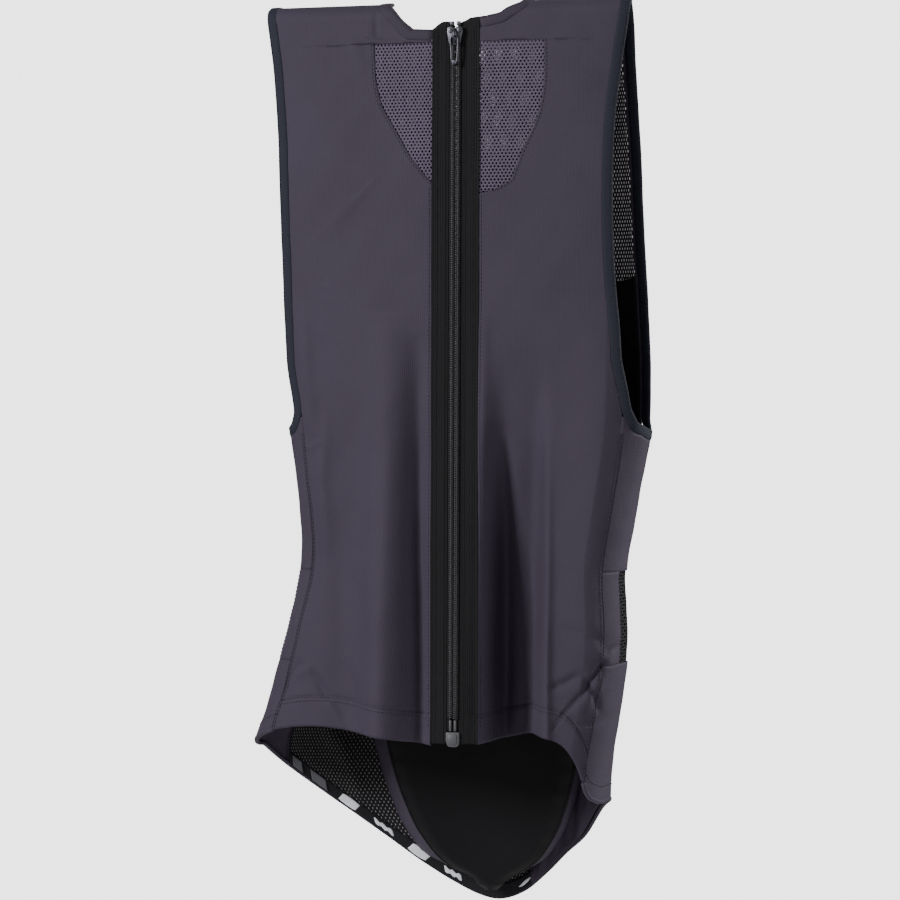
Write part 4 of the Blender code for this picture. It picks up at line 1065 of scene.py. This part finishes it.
def seam_rows(side, insert):
    """Stitch rows along the insert's edge, the zip's tape and the side seam."""
    name = side_name(side)
    insert_end = INSERTS[side][-1][0]
    beside = np.linspace(INSERT_TOP + 0.001, insert_end - 0.002, 80)
    down = np.linspace(insert_end + 0.002, 0.500, 260)
    yoke = np.full(60, INSERT_TOP + 0.0002)
    rows = [
        ("insert", side * (insert(beside) + 0.75), beside),
        ("tape", side * from_middle(side, TAPE_EDGE + 0.0022)(down), down),
        ("yoke", angle_at(side * np.linspace(TAPE_EDGE + 0.004, 0.0575, 60), yoke), yoke),
    ]
    if side > 0:
        down = np.linspace(0.4590, 0.5020, 60)
        across = np.interp(down, (0.4590, 0.4751, 0.4854, 0.5030), (0.0957, 0.0870, 0.0790, 0.0660)) + 0.0012
        rows.append(("gusset", angle_at(across, down), down))
    for label, angles, drops in rows:
        sew(f"{label}_stitches_{name}", angles, drops, SEAM_STITCH, side)
    sew_seam("side", SIDE_SEAM, side, 0.300, 150)


# ---------------------------------------------------------------- sides and back


def side_cloth(side):
    """The side panel, the vent mesh and the strip beside it, the hem's corner and the armhole's binding."""
    name = side_name(side)
    from_front = lambda d: front_seam(side, d, EDGE_CLEAR) + SEAM_CLEAR
    whole = mirrored(side, from_front, lambda d: back_seam(d) - SEAM_CLEAR)
    forward = mirrored(side, from_front, lambda d: VENT_EDGE + 0 * d)
    under_arm = lambda a: through(ARMHOLE_BOTTOM, np.abs(a)) + 0.0016
    for label, edges, top, bottom, size, rests_on in (
        ("side_panel", whole, under_arm, level(VENT_TOP), (50, 36), [f"armhole_binding_cloth_{name}"]),
        ("side_strip", forward, level(VENT_TOP), level(VENT_END), (34, 22), []),
        ("side_hem", whole, level(VENT_END), hem, (50, 36), []),
    ):
        piece, node = f"{label}_cloth_{name}", f"{label}_{name}"
        cloth(piece, [node], edges, top, bottom, size, "shell", "shell_cloth")

    first, last = VENT_EDGE - 0.8, float(back_seam(0.42)) + 0.6
    vent = perforated(
        f"side_vent_mesh_{name}",
        lambda u, v: cloth_point(side * (first + (u - VENT_START) / VENT_SCALE), v, -0.0014),
        (VENT_START, VENT_START + (last - first) * VENT_SCALE), (VENT_TOP - 0.0012, VENT_END + 0.0012),
        lambda u, v: True, 0.00078, "vent",
    )
    finish(vent, "mesh_cloth", f"side_vent_{name}")
    drops = np.linspace(VENT_TOP + 0.002, VENT_END - 0.002, 40)
    sew(f"vent_stitches_{name}", side * (VENT_EDGE - 0.9) + 0 * drops, drops, VENT_STITCH)

    # Armhole binding: elastic folded over the edge, all the way round.
    front_drops = CORNER_END * np.linspace(0, 1, 120) ** 2
    back_drops = 0.285 * np.linspace(1, 0, 110) ** 2
    under = np.linspace(SIDE_SEAM + 1, BACK_SEAM, 40)
    angles = np.concatenate([armhole_front(side, front_drops), under, through(BACK_ARMHOLE, back_drops)])
    drops = np.concatenate([front_drops, through(ARMHOLE_BOTTOM, under), back_drops])
    edging(
        (f"armhole_binding_cloth_{name}", f"armhole_stitches_{name}"), f"armhole_binding_{name}",
        evened_edge(side * angles, drops, -0.0006, 0.0026, closed=True), ARMHOLE_EDGING, side,
        closed=True,
    )


def back_edges(drop, inset=SEAM_CLEAR):
    return back_seam(drop) + inset, 360.0 - back_seam(drop) - inset


def back_neckline(angle):
    """The drop of the back neckline at each angle."""
    x = np.abs(half_width(1, 0.0) * np.sin(np.radians(angle)))
    stations = sorted((place, drop) for drop, place in NECK_BACK)
    return np.where(x < STRAP_INNER + 0.001, through(stations, x) + 0.0016, 0.0)


def back():
    """The back's cloth, its lining in three parts, and the tape, rolled edge, neck band and stitches on it."""
    panel = cloth(
        "back_cloth", ["back_panel"], back_edges, back_neckline, hem, (210, 120), "shell", "shell_cloth",
        ease=1.15,
    )
    above_tape = lambda a: hem(a) - GRIP_TALL + 0.001
    slanted = lambda a: 0.2056 + 0.00025 * (np.asarray(a) - 180)
    for label, node, top, bottom, rows, material, slot in (
        ("yoke", "yoke_mesh", level(0.030), lambda a: slanted(a) + 0.001, 70, "yoke_mesh", "mesh_cloth"),
        # The middle part is solid near-black cloth, painted shade for the shadow inside the back.
        ("mid", "mid_panel", slanted, level(0.331), 50, "lining", "lining"),
        ("lower", "lower_mesh", level(0.330), above_tape, 80, "mesh", "mesh_cloth"),
    ):
        cloth(
            f"lining_{label}_cloth", [f"lining_{node}"], lambda d: back_edges(d, EDGE_CLEAR), top, bottom, (rows, 90),
            material, slot, lift=LINING_LIFT, thickness=LINING_THICK,
        )
    cloth(
        "grip_tape_cloth", ["hem_grip_tape"], lambda d: (BACK_SEAM + 1.2 + 0 * d, 358.8 - BACK_SEAM + 0 * d),
        lambda a: hem(a) - GRIP_TALL, lambda a: hem(a) - 0.0004, (8, 170), "grip", "grip_tape",
        lift=GRIP_LIFT, thickness=GRIP_THICK,
    )
    tail()
    drops = NECK_BACK_END * np.linspace(0, 1, 60) ** 2
    left = angle_at(through(NECK_BACK, drops), drops, back=True)
    angles, drops = np.concatenate([left, 360 - left[::-1]]), np.concatenate([drops, drops[::-1]])
    edging(
        ("neck_band_back", "neck_stitches_back"), "neck_binding_back", evened_edge(angles, drops, -0.0006, 0.0020),
        NECK_EDGING, 1,
    )
    for side in (1, -1):
        sew_seam("back", BACK_SEAM, side, 0.345, 120)
    # The pocket's stitching shows on the back as a row on each side of the pad.
    drops = np.linspace(POCKET_TOP + 0.004, 0.300, 90)
    for side in (1, -1):
        angles = angle_at(side * pocket_width(drops), drops, back=True)
        sew(f"pocket_outline_{side_name(side)}", angles, drops, POCKET_STITCH)


def tail():
    """The rolled edge of the back's hem and sides, and the facing that rolls inwards on the wearer's left."""
    angles = np.concatenate([np.linspace(SIDE_SEAM, 180, 150), np.linspace(-180, -SIDE_SEAM, 150)[1:]])
    path, normals = evened_edge(angles, hem(angles) - 0.0010, -0.0010, 0.0024)
    profile = loop_profile(-0.0016, 0.0016, 0.0032, 10)
    roll = finish(sweep("tail_rolled_edge", path, normals, profile, "shell"), "shell_cloth")
    declare_band(path)
    sew("tail_stitches", angles, hem(angles) - GRIP_TALL - 0.0006, HEM_STITCH)
    share = np.linspace(1, 0, 26)[:, None]
    bulge = np.sin(math.pi * share)
    cloth(
        "tail_rolled_facing", [], lambda d: (BACK_SEAM + 2.0 + 0 * d, 163.0 + 0 * d),
        lambda a: hem(a) - 0.052 * np.clip((166 - a) / 18, 0.2, 1), lambda a: hem(a) - 0.0006, (26, 60),
        "shell_inside", "shell_cloth", thickness=0.0010,
        lift=lambda a: -CLOTH - 0.0038 - bulge * (0.0016 + 0.0006 * np.sin(np.radians(a) * 46 + 3 * share)),
    )


# ---------------------------------------------------------------- inside the tail


def grip_marks():
    """Generic raised silicone shapes on the tape, in place of the printing on the real one."""
    s = np.linspace(-1, 1, 22)[None, :]
    t = np.linspace(-1, 1, 9)[:, None]
    bar, waisted = 1 - 0.35 * np.abs(s) ** 3, 0.55 + 0.45 * np.cos(1.3 * math.pi * s) ** 2
    dome = 0.00045 * (1 - np.abs(s) ** 6) * (1 - np.abs(t) ** 6)
    for number, (angle, slanted) in enumerate(GRIP_MARKS, start=1):
        at = angle + 2.6 * s + 1.1 * slanted * t
        drop = hem(angle + 2.6 * s) - 0.00575 + 0.0027 * (bar if slanted else waisted) * t
        points = cloth_point(at, drop, GRIP_FACE - 0.0002 - dome)
        # The marks face the wearer, so their grid is turned round to face inwards.
        uv = weave_uv(at, drop)[:, ::-1]
        mark = make_consistent(closed_grid(f"grip_mark_{number}", points[:, ::-1], uv, 0.0005, "silicone"))
        finish(mark, "grip_silicone", f"grip_print_{number}")


def labels():
    """The blank labels sewn into the hem."""
    curl = 0.0006 * np.linspace(0, 1, 10)[:, None] ** 2
    for number, (first, last) in enumerate(((-118.5, -113.5), (-128.5, -122.5)), start=1):
        cloth(
            f"hem_label_cloth_{number}", [f"hem_label_{number}"], lambda d: (first + 0 * d, last + 0 * d),
            lambda a: hem(a) - 0.0100, lambda a: hem(a) - 0.0018, (10, 16), "label", "label",
            lift=GRIP_FACE - 0.0003 - curl, thickness=0.0006,
        )


# ---------------------------------------------------------------- pad and pocket


def pad_face(x, drop):
    """A point on the pad's outer face."""
    x, drop = np.broadcast_arrays(np.asarray(x, float), np.asarray(drop, float))
    y = BACK_DEPTH + BACK_SLOPE * drop - PAD_BACKSET - PAD_BEND * x**2
    return np.stack([x, y, -drop], axis=-1)


def pad_inwards(x, drop):
    """Unit vectors from the pad's outer face towards the wearer."""
    across = pad_face(x + 0.0005, drop) - pad_face(x - 0.0005, drop)
    down = pad_face(x, drop + 0.0005) - pad_face(x, drop - 0.0005)
    square = unit(np.cross(across, down))
    return square * -np.sign(square[..., 1:2])


def pad_layer(name, depth, thickness, material, channel):
    """One moulded layer with rounded rims and shallow moulded channels."""
    at = (1 - np.cos(np.linspace(0, math.pi, 110))) / 2
    drop = (PAD_TOP + (PAD_END - PAD_TOP) * at)[:, None] + np.zeros((1, 44))
    share = np.sin(np.linspace(-1, 1, 44) * math.pi / 2)[None, :]
    width = through(PAD_WIDTH, drop)
    x = share * width
    rim = np.minimum((1 - np.abs(share)) * width, np.minimum(drop - PAD_TOP, PAD_END - drop) + 0.0004)
    soft = np.sqrt(np.clip(rim / 0.0022, 0.02, 1))
    channels = channel * (np.cos(2 * math.pi * drop / HOLE_PITCH) > 0.93) * (np.abs(share) < 0.86)
    inward = pad_inwards(x, drop)
    half = thickness / 2
    middle = pad_face(x, drop) + (depth + half) * inward
    outer = middle - (half * soft)[..., None] * inward
    inner = middle + ((half - channels) * soft)[..., None] * inward
    return make_consistent(sheet_object(name, outer, inner, np.stack([x, drop], axis=-1), material))


def core_holes(core):
    """Cuts the core's vent holes."""
    n = HOLE_SIDES
    turn_by = np.linspace(0, 2 * math.pi, n, endpoint=False)
    ring = np.stack([np.cos(turn_by), 0 * turn_by, np.sin(turn_by)], axis=1) * HOLE_RADIUS
    vertices, faces = [], []
    for drop in HOLE_TOP + HOLE_PITCH * np.arange(HOLE_ROWS):
        for x in (-HOLE_ACROSS, 0.0, HOLE_ACROSS):
            base = len(vertices)
            vertices += [*(pad_face(x, drop) + (0, 0.02, 0) + ring), *(pad_face(x, drop) + (0, -0.02, 0) + ring)]
            faces += [tuple(base + j for j in range(n)), tuple(base + n + j for j in range(n - 1, -1, -1))]
            faces += [(base + (j + 1) % n, base + j, base + n + j, base + n + (j + 1) % n) for j in range(n)]
    cutter = make_consistent(add_object("vent_cutter", vertices, faces, np.zeros((len(vertices), 2)), "core"))
    cut = core.modifiers.new("vents", "BOOLEAN")
    cut.object = cutter
    cut.solver = "EXACT"
    settle(core)
    bpy.data.objects.remove(cutter, do_unlink=True)


def pad():
    """The pad's layers, from the back panel inwards."""
    depth = 0.0
    for node, name, thickness, material, slot, channel in PAD_LAYERS:
        layer = pad_layer(name, depth + 0.0001, thickness - 0.0001, material, channel)
        if material == "core":
            core_holes(layer)
        finish(layer, slot, node, on="pad")
        depth += thickness + GAP


def pocket_sheet(name, nodes, points, x, drop, thickness, material, slot):
    """A sheet of the pocket's, with its weave laid out by x and drop."""
    uv = np.stack(np.broadcast_arrays(x, drop), axis=-1)
    obj = finish(make_consistent(closed_grid(name, points, uv, thickness, material)), slot, *nodes)
    declare_sheet(obj, points)


def pocket():
    """The cover over the pad, crowned by it, with cloth sides down to the lining."""
    drop = np.linspace(POCKET_TOP, POCKET_END, 130)[:, None] + np.zeros((1, 66))
    share = np.linspace(1, -1, 66)[None, :]
    width = pocket_width(drop)
    ends = np.clip((POCKET_END - drop) / 0.010, 0, 1)
    width = np.where(drop > 0.604, np.maximum(0.004, width * (0.35 + 0.65 * np.sqrt(ends))), width)
    x = share * width
    closeness = np.minimum((1 - np.abs(share)) * width / 0.010, np.minimum((drop - POCKET_TOP) / 0.014, 1))
    crown = np.sin(np.clip(closeness, 0, 1) * math.pi / 2)
    puckers = 0.0004 * np.sin(drop * 420 + 2.2 * np.sign(share)) * np.exp(-((np.abs(share) - 0.93) / 0.05) ** 2)
    low = np.where(drop < 0.30, 0.30, 0.82)
    height = (PAD_THICK + PAD_PLAY) * (low + (1 - low) * crown)
    height = height + (0.0002 * np.sin(drop * 90) + 0.0006) * crown + puckers
    points = pad_face(x, drop) + height[..., None] * pad_inwards(x, drop)
    pocket_sheet(
        "pocket_cover_cloth", ["pad_pocket_cover"], points, x, drop, 0.0009, "cover", "pocket_cloth",
    )
    pocket_trim(points, drop[:, 0])
    drop = np.linspace(0.588, 0.600, 8)[:, None] + np.zeros((1, 20))
    x = np.linspace(0.016, -0.016, 20)[None, :] + 0 * drop
    for label, away in (("hook", PAD_THICK + 0.0013), ("loop", -0.0003)):
        points = pad_face(x, drop) + away * pad_inwards(x, drop)
        pocket_sheet(
            f"pocket_{label}_cloth", [f"pocket_{label}_strip"], points, x, drop, 0.0009, "hook", "binding",
        )


def pocket_trim(cover_points, drop):
    """A strip of the shell's cloth that frames the pocket on each side, and its piping."""
    keep = (drop > FRAME_TOP) & (drop < FRAME_END)
    at = drop[keep]
    share = np.linspace(0, 1, 10)[None, :, None]
    for side, column in ((1, 0), (-1, -1)):
        name = side_name(side)
        rim = cover_points[keep, column]
        reach = (0.0165 if side < 0 else 0.0045) * np.clip((0.6205 - at) / 0.02, 0.25, 1)
        lining = cloth_point(angle_at(rim[:, 0] + side * reach, at, back=True), at, LINING_LIFT - 0.0012)
        points = (rim + (0.0, 0.0006, 0.0))[:, None] * (1 - share) + lining[:, None] * share
        points = points + 0.0012 * np.sin(math.pi * share) * (0.0, -1.0, 0.0)
        pocket_sheet(
            f"pocket_frame_{name}", [], points[:, ::-side], share[..., 0] * 0.012, at[:, None], 0.0008, "shell",
            "shell_cloth",
        )
        path = evenly(rim, 0.003)
        cord = finish(tube(f"pocket_piping_{name}", path + (0.0, -0.0004, 0.0), 0.0011, "cover"), "pocket_cloth")
        declare_band(path)


def shoulder_tapes():
    """A short tape inside each shoulder."""
    for side in (1, -1):
        name = side_name(side)
        low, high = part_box(f"shoulder_tape_{name}")
        x = np.linspace(low.x, high.x - 0.0062, 40)
        path = np.stack([x, 0 * x, 0 * x + (low.z + high.z) / 2], axis=1)
        profile = loop_profile(-0.0020, 0.0020, 0.0010, 12, 4.0)
        band = sweep(f"shoulder_tape_cloth_{name}", path, np.tile((0.0, 0.0, 1.0), (40, 1)), profile, "grip")
        finish(band, "lining", f"shoulder_tape_{name}")
        declare_band(path)


# ---------------------------------------------------------------- zip


def tape_fall(x, down):
    """How far the cloth's folds take the outer part of a tape with them, x from the zip's middle."""
    at = np.clip(down, 0.002, 0.6)
    return relief(angle_at(np.sign(x) * TAPE_EDGE, at), at) * eased((np.abs(x) - 0.0062) / 0.0098)


def zip_points(x, height, down):
    """Points in the vest's frame from arrays in the zip's."""
    matrix = np.array(ZIP)
    return np.stack(np.broadcast_arrays(x, height, down), axis=-1) @ matrix[:3, :3].T + matrix[:3, 3]


def zip_stitches(name, side, x, height, down, stitch):
    """A row of stitches along a tape."""
    path = zip_points(side * x, height, down)
    row = stitches(name, path, np.tile(np.array(out_zip), (len(down), 1)), stitch, "dark_thread")
    finish(row, "zip_tape", on=f"front_{side_name(side)}")


def tape(side):
    """A woven tape with raised cords beside the coil and a stitched edge."""
    name = side_name(side)
    across = np.concatenate([np.linspace(0.0010, 0.0078, 26), np.linspace(0.0082, 0.0167, 23)])
    rib = sum(high * np.exp(-(((across - x) / wide) ** 2)) for high, x, wide in TAPE_CORDS)
    # The tape's end is folded over behind, so that it has a rounded top that dips at the middle and outside.
    # Outside, it meets the neck band's top on the wearer's left, and slopes down to it on the right.
    if side > 0:
        meet = -0.0022 * np.clip((across - 0.006) / 0.004, 0, 1)
    else:
        meet = 0.0045 * np.clip((across - 0.009) / 0.007, 0, 1) ** 1.5
    top = ZIP_TOP + 0.0042 * np.clip(1 - across / 0.0055, 0, 1) ** 1.5 + meet
    end = ZIP_END + 0.0085 * np.clip((across - 0.0045) / 0.0010, 0, 1)
    down = top + (end - top) * np.linspace(0, 1, 330)[:, None]
    height = rib + 0.00007 * np.sin(down * 2 * math.pi / 0.0155) * (across > 0.011)
    height = height - 0.0016 * np.clip(1 - (down - top) / 0.0040, 0, 1) ** 2 + 0.00045 * (across > 0.0158)
    points = zip_points(side * across, height + tape_fall(side * across + 0 * down, down), down)
    uv = np.stack(np.broadcast_arrays(across, down), axis=-1)
    # The tape's thickness is square to the zip, so that its ribs stay sharp.
    normals = np.tile(np.array(out_zip), (*points.shape[:2], 1))
    weave = closed_grid(
        f"zip_tape_weave_{name}", points[:, ::side], uv[:, ::side], TAPE_THICK, "tape", normals
    )
    weave = finish(make_consistent(weave), "zip_tape", f"zip_tape_{name}", on=f"front_{name}")
    for label, x in (("inner", 0.0062), ("outer", 0.0128)):
        down = np.linspace(ZIP_TOP + 0.005, ZIP_END - 0.002, 200)
        height = 0.00025 + tape_fall(side * x + 0 * down, down)
        zip_stitches(f"tape_stitches_{label}_{name}", side, x, height, down, (0.0026, 0.0019, 0.0004))


def coil(side):
    """The nylon coil: a row of flattened loops over a core cord, half a pitch apart on the two sides."""
    name = side_name(side)
    start, end = ZIP_TOP + 0.004, ZIP_END - PIN_LONG - GAP
    loop = np.array(COIL_LOOP)
    way = unit(np.roll(loop, -1, axis=0)[:, :2] - np.roll(loop, 1, axis=0)[:, :2])
    ring = np.linspace(0, 2 * math.pi, 6, endpoint=False)
    thick = np.cos(ring) * loop[:, 2:]
    base = np.stack([
        loop[:, :1] - way[:, 1:] * thick, loop[:, 1:2] + 0.8 * way[:, :1] * thick, np.sin(ring) * loop[:, 2:]
    ], axis=-1).reshape(-1, 3)
    shape = quads(len(loop), 6, wrap=True)
    last = 6 * (len(loop) - 1)
    shape += [(last + j, j, (j + 1) % 6, last + (j + 1) % 6) for j in range(6)]
    at = start + COIL_PITCH * (0.5 + np.arange(int((end - start) / COIL_PITCH)) + (0.5 if side < 0 else 0.0))
    at = at[at < end - 0.4 * COIL_PITCH]
    points = zip_points(side * base[:, 0], base[:, 1], base[:, 2] + at[:, None])
    faces = [tuple(len(base) * k + c for c in face) for k in range(len(at)) for face in shape]
    teeth = make_consistent(add_object(f"coil_teeth_{name}", points, faces, np.tile(base[:, :2], (len(at), 1)), "coil"))
    core = zip_points(side * 0.0022, 0.0010, np.linspace(start, end, 60))
    core = tube(f"coil_core_{name}", core, 0.00052, "coil")
    finish(join(f"coil_nylon_{name}", [teeth, core]), "zip_coil", f"zip_coil_{name}", on=f"front_{name}")
    down = np.linspace(start, end, 300)
    zip_stitches(f"coil_stitches_{name}", side, 0.0029, 0.00205, down, (COIL_PITCH, 0.0012, 0.00034))


def zip_ends():
    """The top stops, the pins at the zip's end, and the box that holds the retainer pin."""
    for side in (1, -1):
        name = side_name(side)
        pin = f"zip_{'retainer' if side > 0 else 'insertion'}_pin"
        for piece, node, outer, top, end, material in (
            (f"top_stop_clamp_{name}", f"zip_top_stop_{name}", 0.0038, ZIP_TOP + 0.0004, ZIP_TOP + 0.0034, "metal"),
            (f"{pin}_moulding", pin, 0.0026, ZIP_END - PIN_LONG, ZIP_END - GAP, "plastic"),
        ):
            low, high = sorted((side * 0.0008, side * outer))
            moulding = rounded_box(piece, (low, GAP, top), (high, COIL_HIGH, end), material, 0.0005)
            finish(moulding, f"zip_{material}", node, on=f"front_{name}")
    half, top = BOX_WIDE / 2, ZIP_END + GAP
    right = [(half, top), (half, top + 0.0062), (half * 0.82, top + 0.0088), (half * 0.55, top + BOX_LONG)]
    outline = [(-half, top)] + right + [(-x, down) for x, down in right[:0:-1]]
    raised = [(x * 0.66, top + 0.0016 + (down - top) * 0.68) for x, down in outline]
    low, high = -BOX_THICK / 2 + 0.0006, BOX_THICK / 2 + 0.0006
    body = prism("box_body", outline, low, high - 0.0005, "plastic", 0.0007)
    rim = prism("box_panel", raised, high - 0.0008, high, "plastic", 0.0003, 2)
    finish(join("zip_box_moulding", [body, rim]), "zip_plastic", "zip_box", on="front_left")


def slider():
    """The slider: two shield-shaped plates, side flanges, a wedge and an arched bail, with a looped wire pull."""
    top, end = SLIDER_TOP, SLIDER_TOP + SLIDER_LONG
    face, rear, half = COIL_HIGH + SLIDER_PLAY, -TAPE_THICK - SLIDER_PLAY, 0.0056
    crown = face + SLIDER_PLATE
    right = [
        (0.0, top + 0.0022), (0.0016, top + 0.0004), (0.0038, top), (half - 0.0004, top + 0.0010), (half, top + 0.0036),
        (half - 0.0007, top + 0.0070), (0.0042, end - 0.0012), (0.0034, end),
    ]
    shield = right + [(-x, down) for x, down in right[:0:-1]]
    wedge = (-0.00028, rear - 0.0003, top + 0.0024), (0.00028, face + 0.0003, top + 0.0042)
    parts = [
        prism("slider_front", shield, face, crown, "metal"),
        prism("slider_rear", shield, rear - SLIDER_PLATE, rear, "metal"),
        rounded_box("slider_wedge", *wedge, "metal", 0.0001),
    ]
    for sign in (1, -1):
        rail = right[4:] + [(x - 0.0007, down) for x, down in right[:3:-1]]
        rail = [(sign * x, down) for x, down in rail][::sign]
        parts.append(prism("slider_rail", rail, 0.0007, face + 0.0004, "metal", 0.0002, 2))
    turn_by = np.linspace(0, 2 * math.pi, 14, endpoint=False)
    for sign in (1, -1):
        dome = [(sign * (0.0030 + 0.0015 * math.cos(a)), top + 0.0030 + 0.0019 * math.sin(a)) for a in turn_by]
        parts.append(prism("slider_shoulder", dome, crown - 0.0003, crown + 0.00055, "metal"))
    bow = np.linspace(0, math.pi, 15)
    arch_high = crown - 0.0003 + (BAIL_HIGH + 0.0009) * np.sin(bow) ** 0.55
    arch = zip_points(0.0, arch_high, top + 0.0065 - 0.0042 * np.cos(bow))
    parts.append(tube("slider_bail", arch, 0.0008, "metal", 10, up=(1, 0, 0)))
    finish(join("slider_metal", parts), "zip_metal", "zip_slider_body", on="zip_slider")

    pivot, tip = crown + BAIL_HIGH / 2, PULL_PIVOT + PULL_LONG
    wire = np.array(PULL_LOOP + tuple((-x, down) for x, down in PULL_LOOP[-2:0:-1]))
    wire = zip_points(wire[:, 0], pivot, PULL_PIVOT + wire[:, 1])
    wire = smoothed(evenly(wire, 0.0006, closed=True), 2, closed=True)
    pull = tube("pull_wire", wire, 0.00058, "metal", 10, closed=True)
    grip = [(0.0021, tip - 0.0034), (0.0019, tip - 0.0004), (-0.0019, tip - 0.0004), (-0.0021, tip - 0.0034)]
    grip = prism("pull_grip", grip, pivot - 0.00055, pivot + 0.00055, "metal", 0.0005)
    finish(join("pull_metal", [pull, grip]), "zip_metal", "zip_pull_tab", on="zip_pull")


# ---------------------------------------------------------------- the whole

for wearers_side in (1, -1):
    front(wearers_side)
    side_cloth(wearers_side)
    tape(wearers_side)
    coil(wearers_side)
back()
grip_marks()
labels()
pad()
pocket()
shoulder_tapes()
zip_ends()
slider()

# ---------------------------------------------------------------- stage, light and camera

CAMERA_AZIMUTH = 15.0
CAMERA_TARGET = Vector((-0.0145, 0.02, -0.3105))
CAMERA_DISTANCE, VIEW_WIDE, SENSOR = 2.5, 0.63, 36.0
FLOOR_ROUND, FLOOR_LEVEL = 1.4, -1.24
# How bright the surroundings look to the camera, and how much light they shed.
WORLD_SEEN, WORLD_SHED = 3.2, 0.18
# Each is (name, place, the point it faces, size, watts).
LIGHTS = (
    ("key", (-1.75, -1.92, 0.75), (0.0, 0.0, -0.32), (0.5, 0.8), 118.0),
    ("front", (0.9, -2.3, 0.5), (0.0, 0.0, -0.30), (1.0, 1.0), 10.0),
    ("fill", (2.3, -0.8, -0.2), (0.0, 0.0, -0.30), (1.0, 1.2), 20.0),
    ("top", (0.2, -0.1, 1.9), (0.0, 0.0, -0.30), (1.2, 1.2), 5.0),
    ("behind", (1.9, 1.3, 0.8), (0.0, 0.05, -0.32), (0.5, 0.7), 95.0),
    ("behind_low", (-1.2, 2.1, 0.2), (0.0, 0.0, -0.32), (1.0, 1.2), 14.0),
)


def stage():
    """A pale round floor whose rim fades into the pale surroundings."""
    ring = np.linspace(0, 2 * math.pi, 97)[:-1]
    vertices = [(0.0, 0.0, 0.0)] + [(FLOOR_ROUND * math.cos(a), FLOOR_ROUND * math.sin(a), 0.0) for a in ring]
    faces = [(0, k + 1, (k + 1) % 96 + 1) for k in range(96)]
    data = bpy.data.meshes.new("studio_floor")
    data.from_pydata(vertices, [], faces)
    n = Nodes("studio_floor", 0.9)
    x, y, _ = n.split(n.place)
    away = n.math("SQRT", n.math("ADD", n.math("MULTIPLY", x, x), n.math("MULTIPLY", y, y)))
    n.put(n.shader.inputs["Alpha"], n.ramp(away, FLOOR_ROUND, 0.45 * FLOOR_ROUND))
    tone = n.mix(n.noise(1.2), (0.88, 0.88, 0.88), (0.90, 0.90, 0.90))
    data.materials.append(n.finish(tone, n.noise(30.0), 0.02, 0.001))
    obj = bpy.data.objects.new("studio_floor", data)
    obj.location = (CAMERA_TARGET.x, CAMERA_TARGET.y, FLOOR_LEVEL)
    bpy.context.scene.collection.objects.link(obj)


def area_light(name, place, aim, size, power):
    """An oblong light at a place, facing a point."""
    data = bpy.data.lights.new(name, "AREA")
    data.shape = "RECTANGLE"
    data.size, data.size_y = size
    data.energy = power
    obj = bpy.data.objects.new(name, data)
    obj.location = place
    obj.rotation_mode = "QUATERNION"
    obj.rotation_quaternion = (Vector(aim) - Vector(place)).to_track_quat("-Z", "Y")
    bpy.context.scene.collection.objects.link(obj)


def camera():
    """A level camera that sees VIEW_WIDE metres at its target."""
    data = bpy.data.cameras.new("camera")
    data.sensor_width = SENSOR
    data.lens = SENSOR * CAMERA_DISTANCE / VIEW_WIDE
    data.clip_start, data.clip_end = 0.05, 30.0
    obj = bpy.data.objects.new("camera", data)
    a = math.radians(CAMERA_AZIMUTH)
    away = Vector((math.sin(a), -math.cos(a), 0.0))
    obj.location = CAMERA_TARGET + CAMERA_DISTANCE * away
    obj.rotation_mode = "QUATERNION"
    obj.rotation_quaternion = (-away).to_track_quat("-Z", "Y")
    bpy.context.scene.collection.objects.link(obj)
    bpy.context.scene.camera = obj


def light():
    """A pale studio all round, which itself sheds little light, and area lights."""
    world = bpy.data.worlds.new("studio")
    world.use_nodes = True
    nodes, links = world.node_tree.nodes, world.node_tree.links
    seen = nodes["Background"]
    seen.inputs["Color"].default_value = (1.0, 1.0, 1.0, 1.0)
    seen.inputs["Strength"].default_value = WORLD_SEEN
    shed = nodes.new("ShaderNodeBackground")
    shed.inputs["Color"].default_value = (1.0, 1.0, 1.0, 1.0)
    shed.inputs["Strength"].default_value = WORLD_SHED
    pick = nodes.new("ShaderNodeMixShader")
    links.new(nodes.new("ShaderNodeLightPath").outputs["Is Camera Ray"], pick.inputs["Fac"])
    links.new(shed.outputs["Background"], pick.inputs[1])
    links.new(seen.outputs["Background"], pick.inputs[2])
    links.new(pick.outputs["Shader"], nodes["World Output"].inputs["Surface"])
    bpy.context.scene.world = world
    for row in LIGHTS:
        area_light(*row)


stage()
light()
camera()
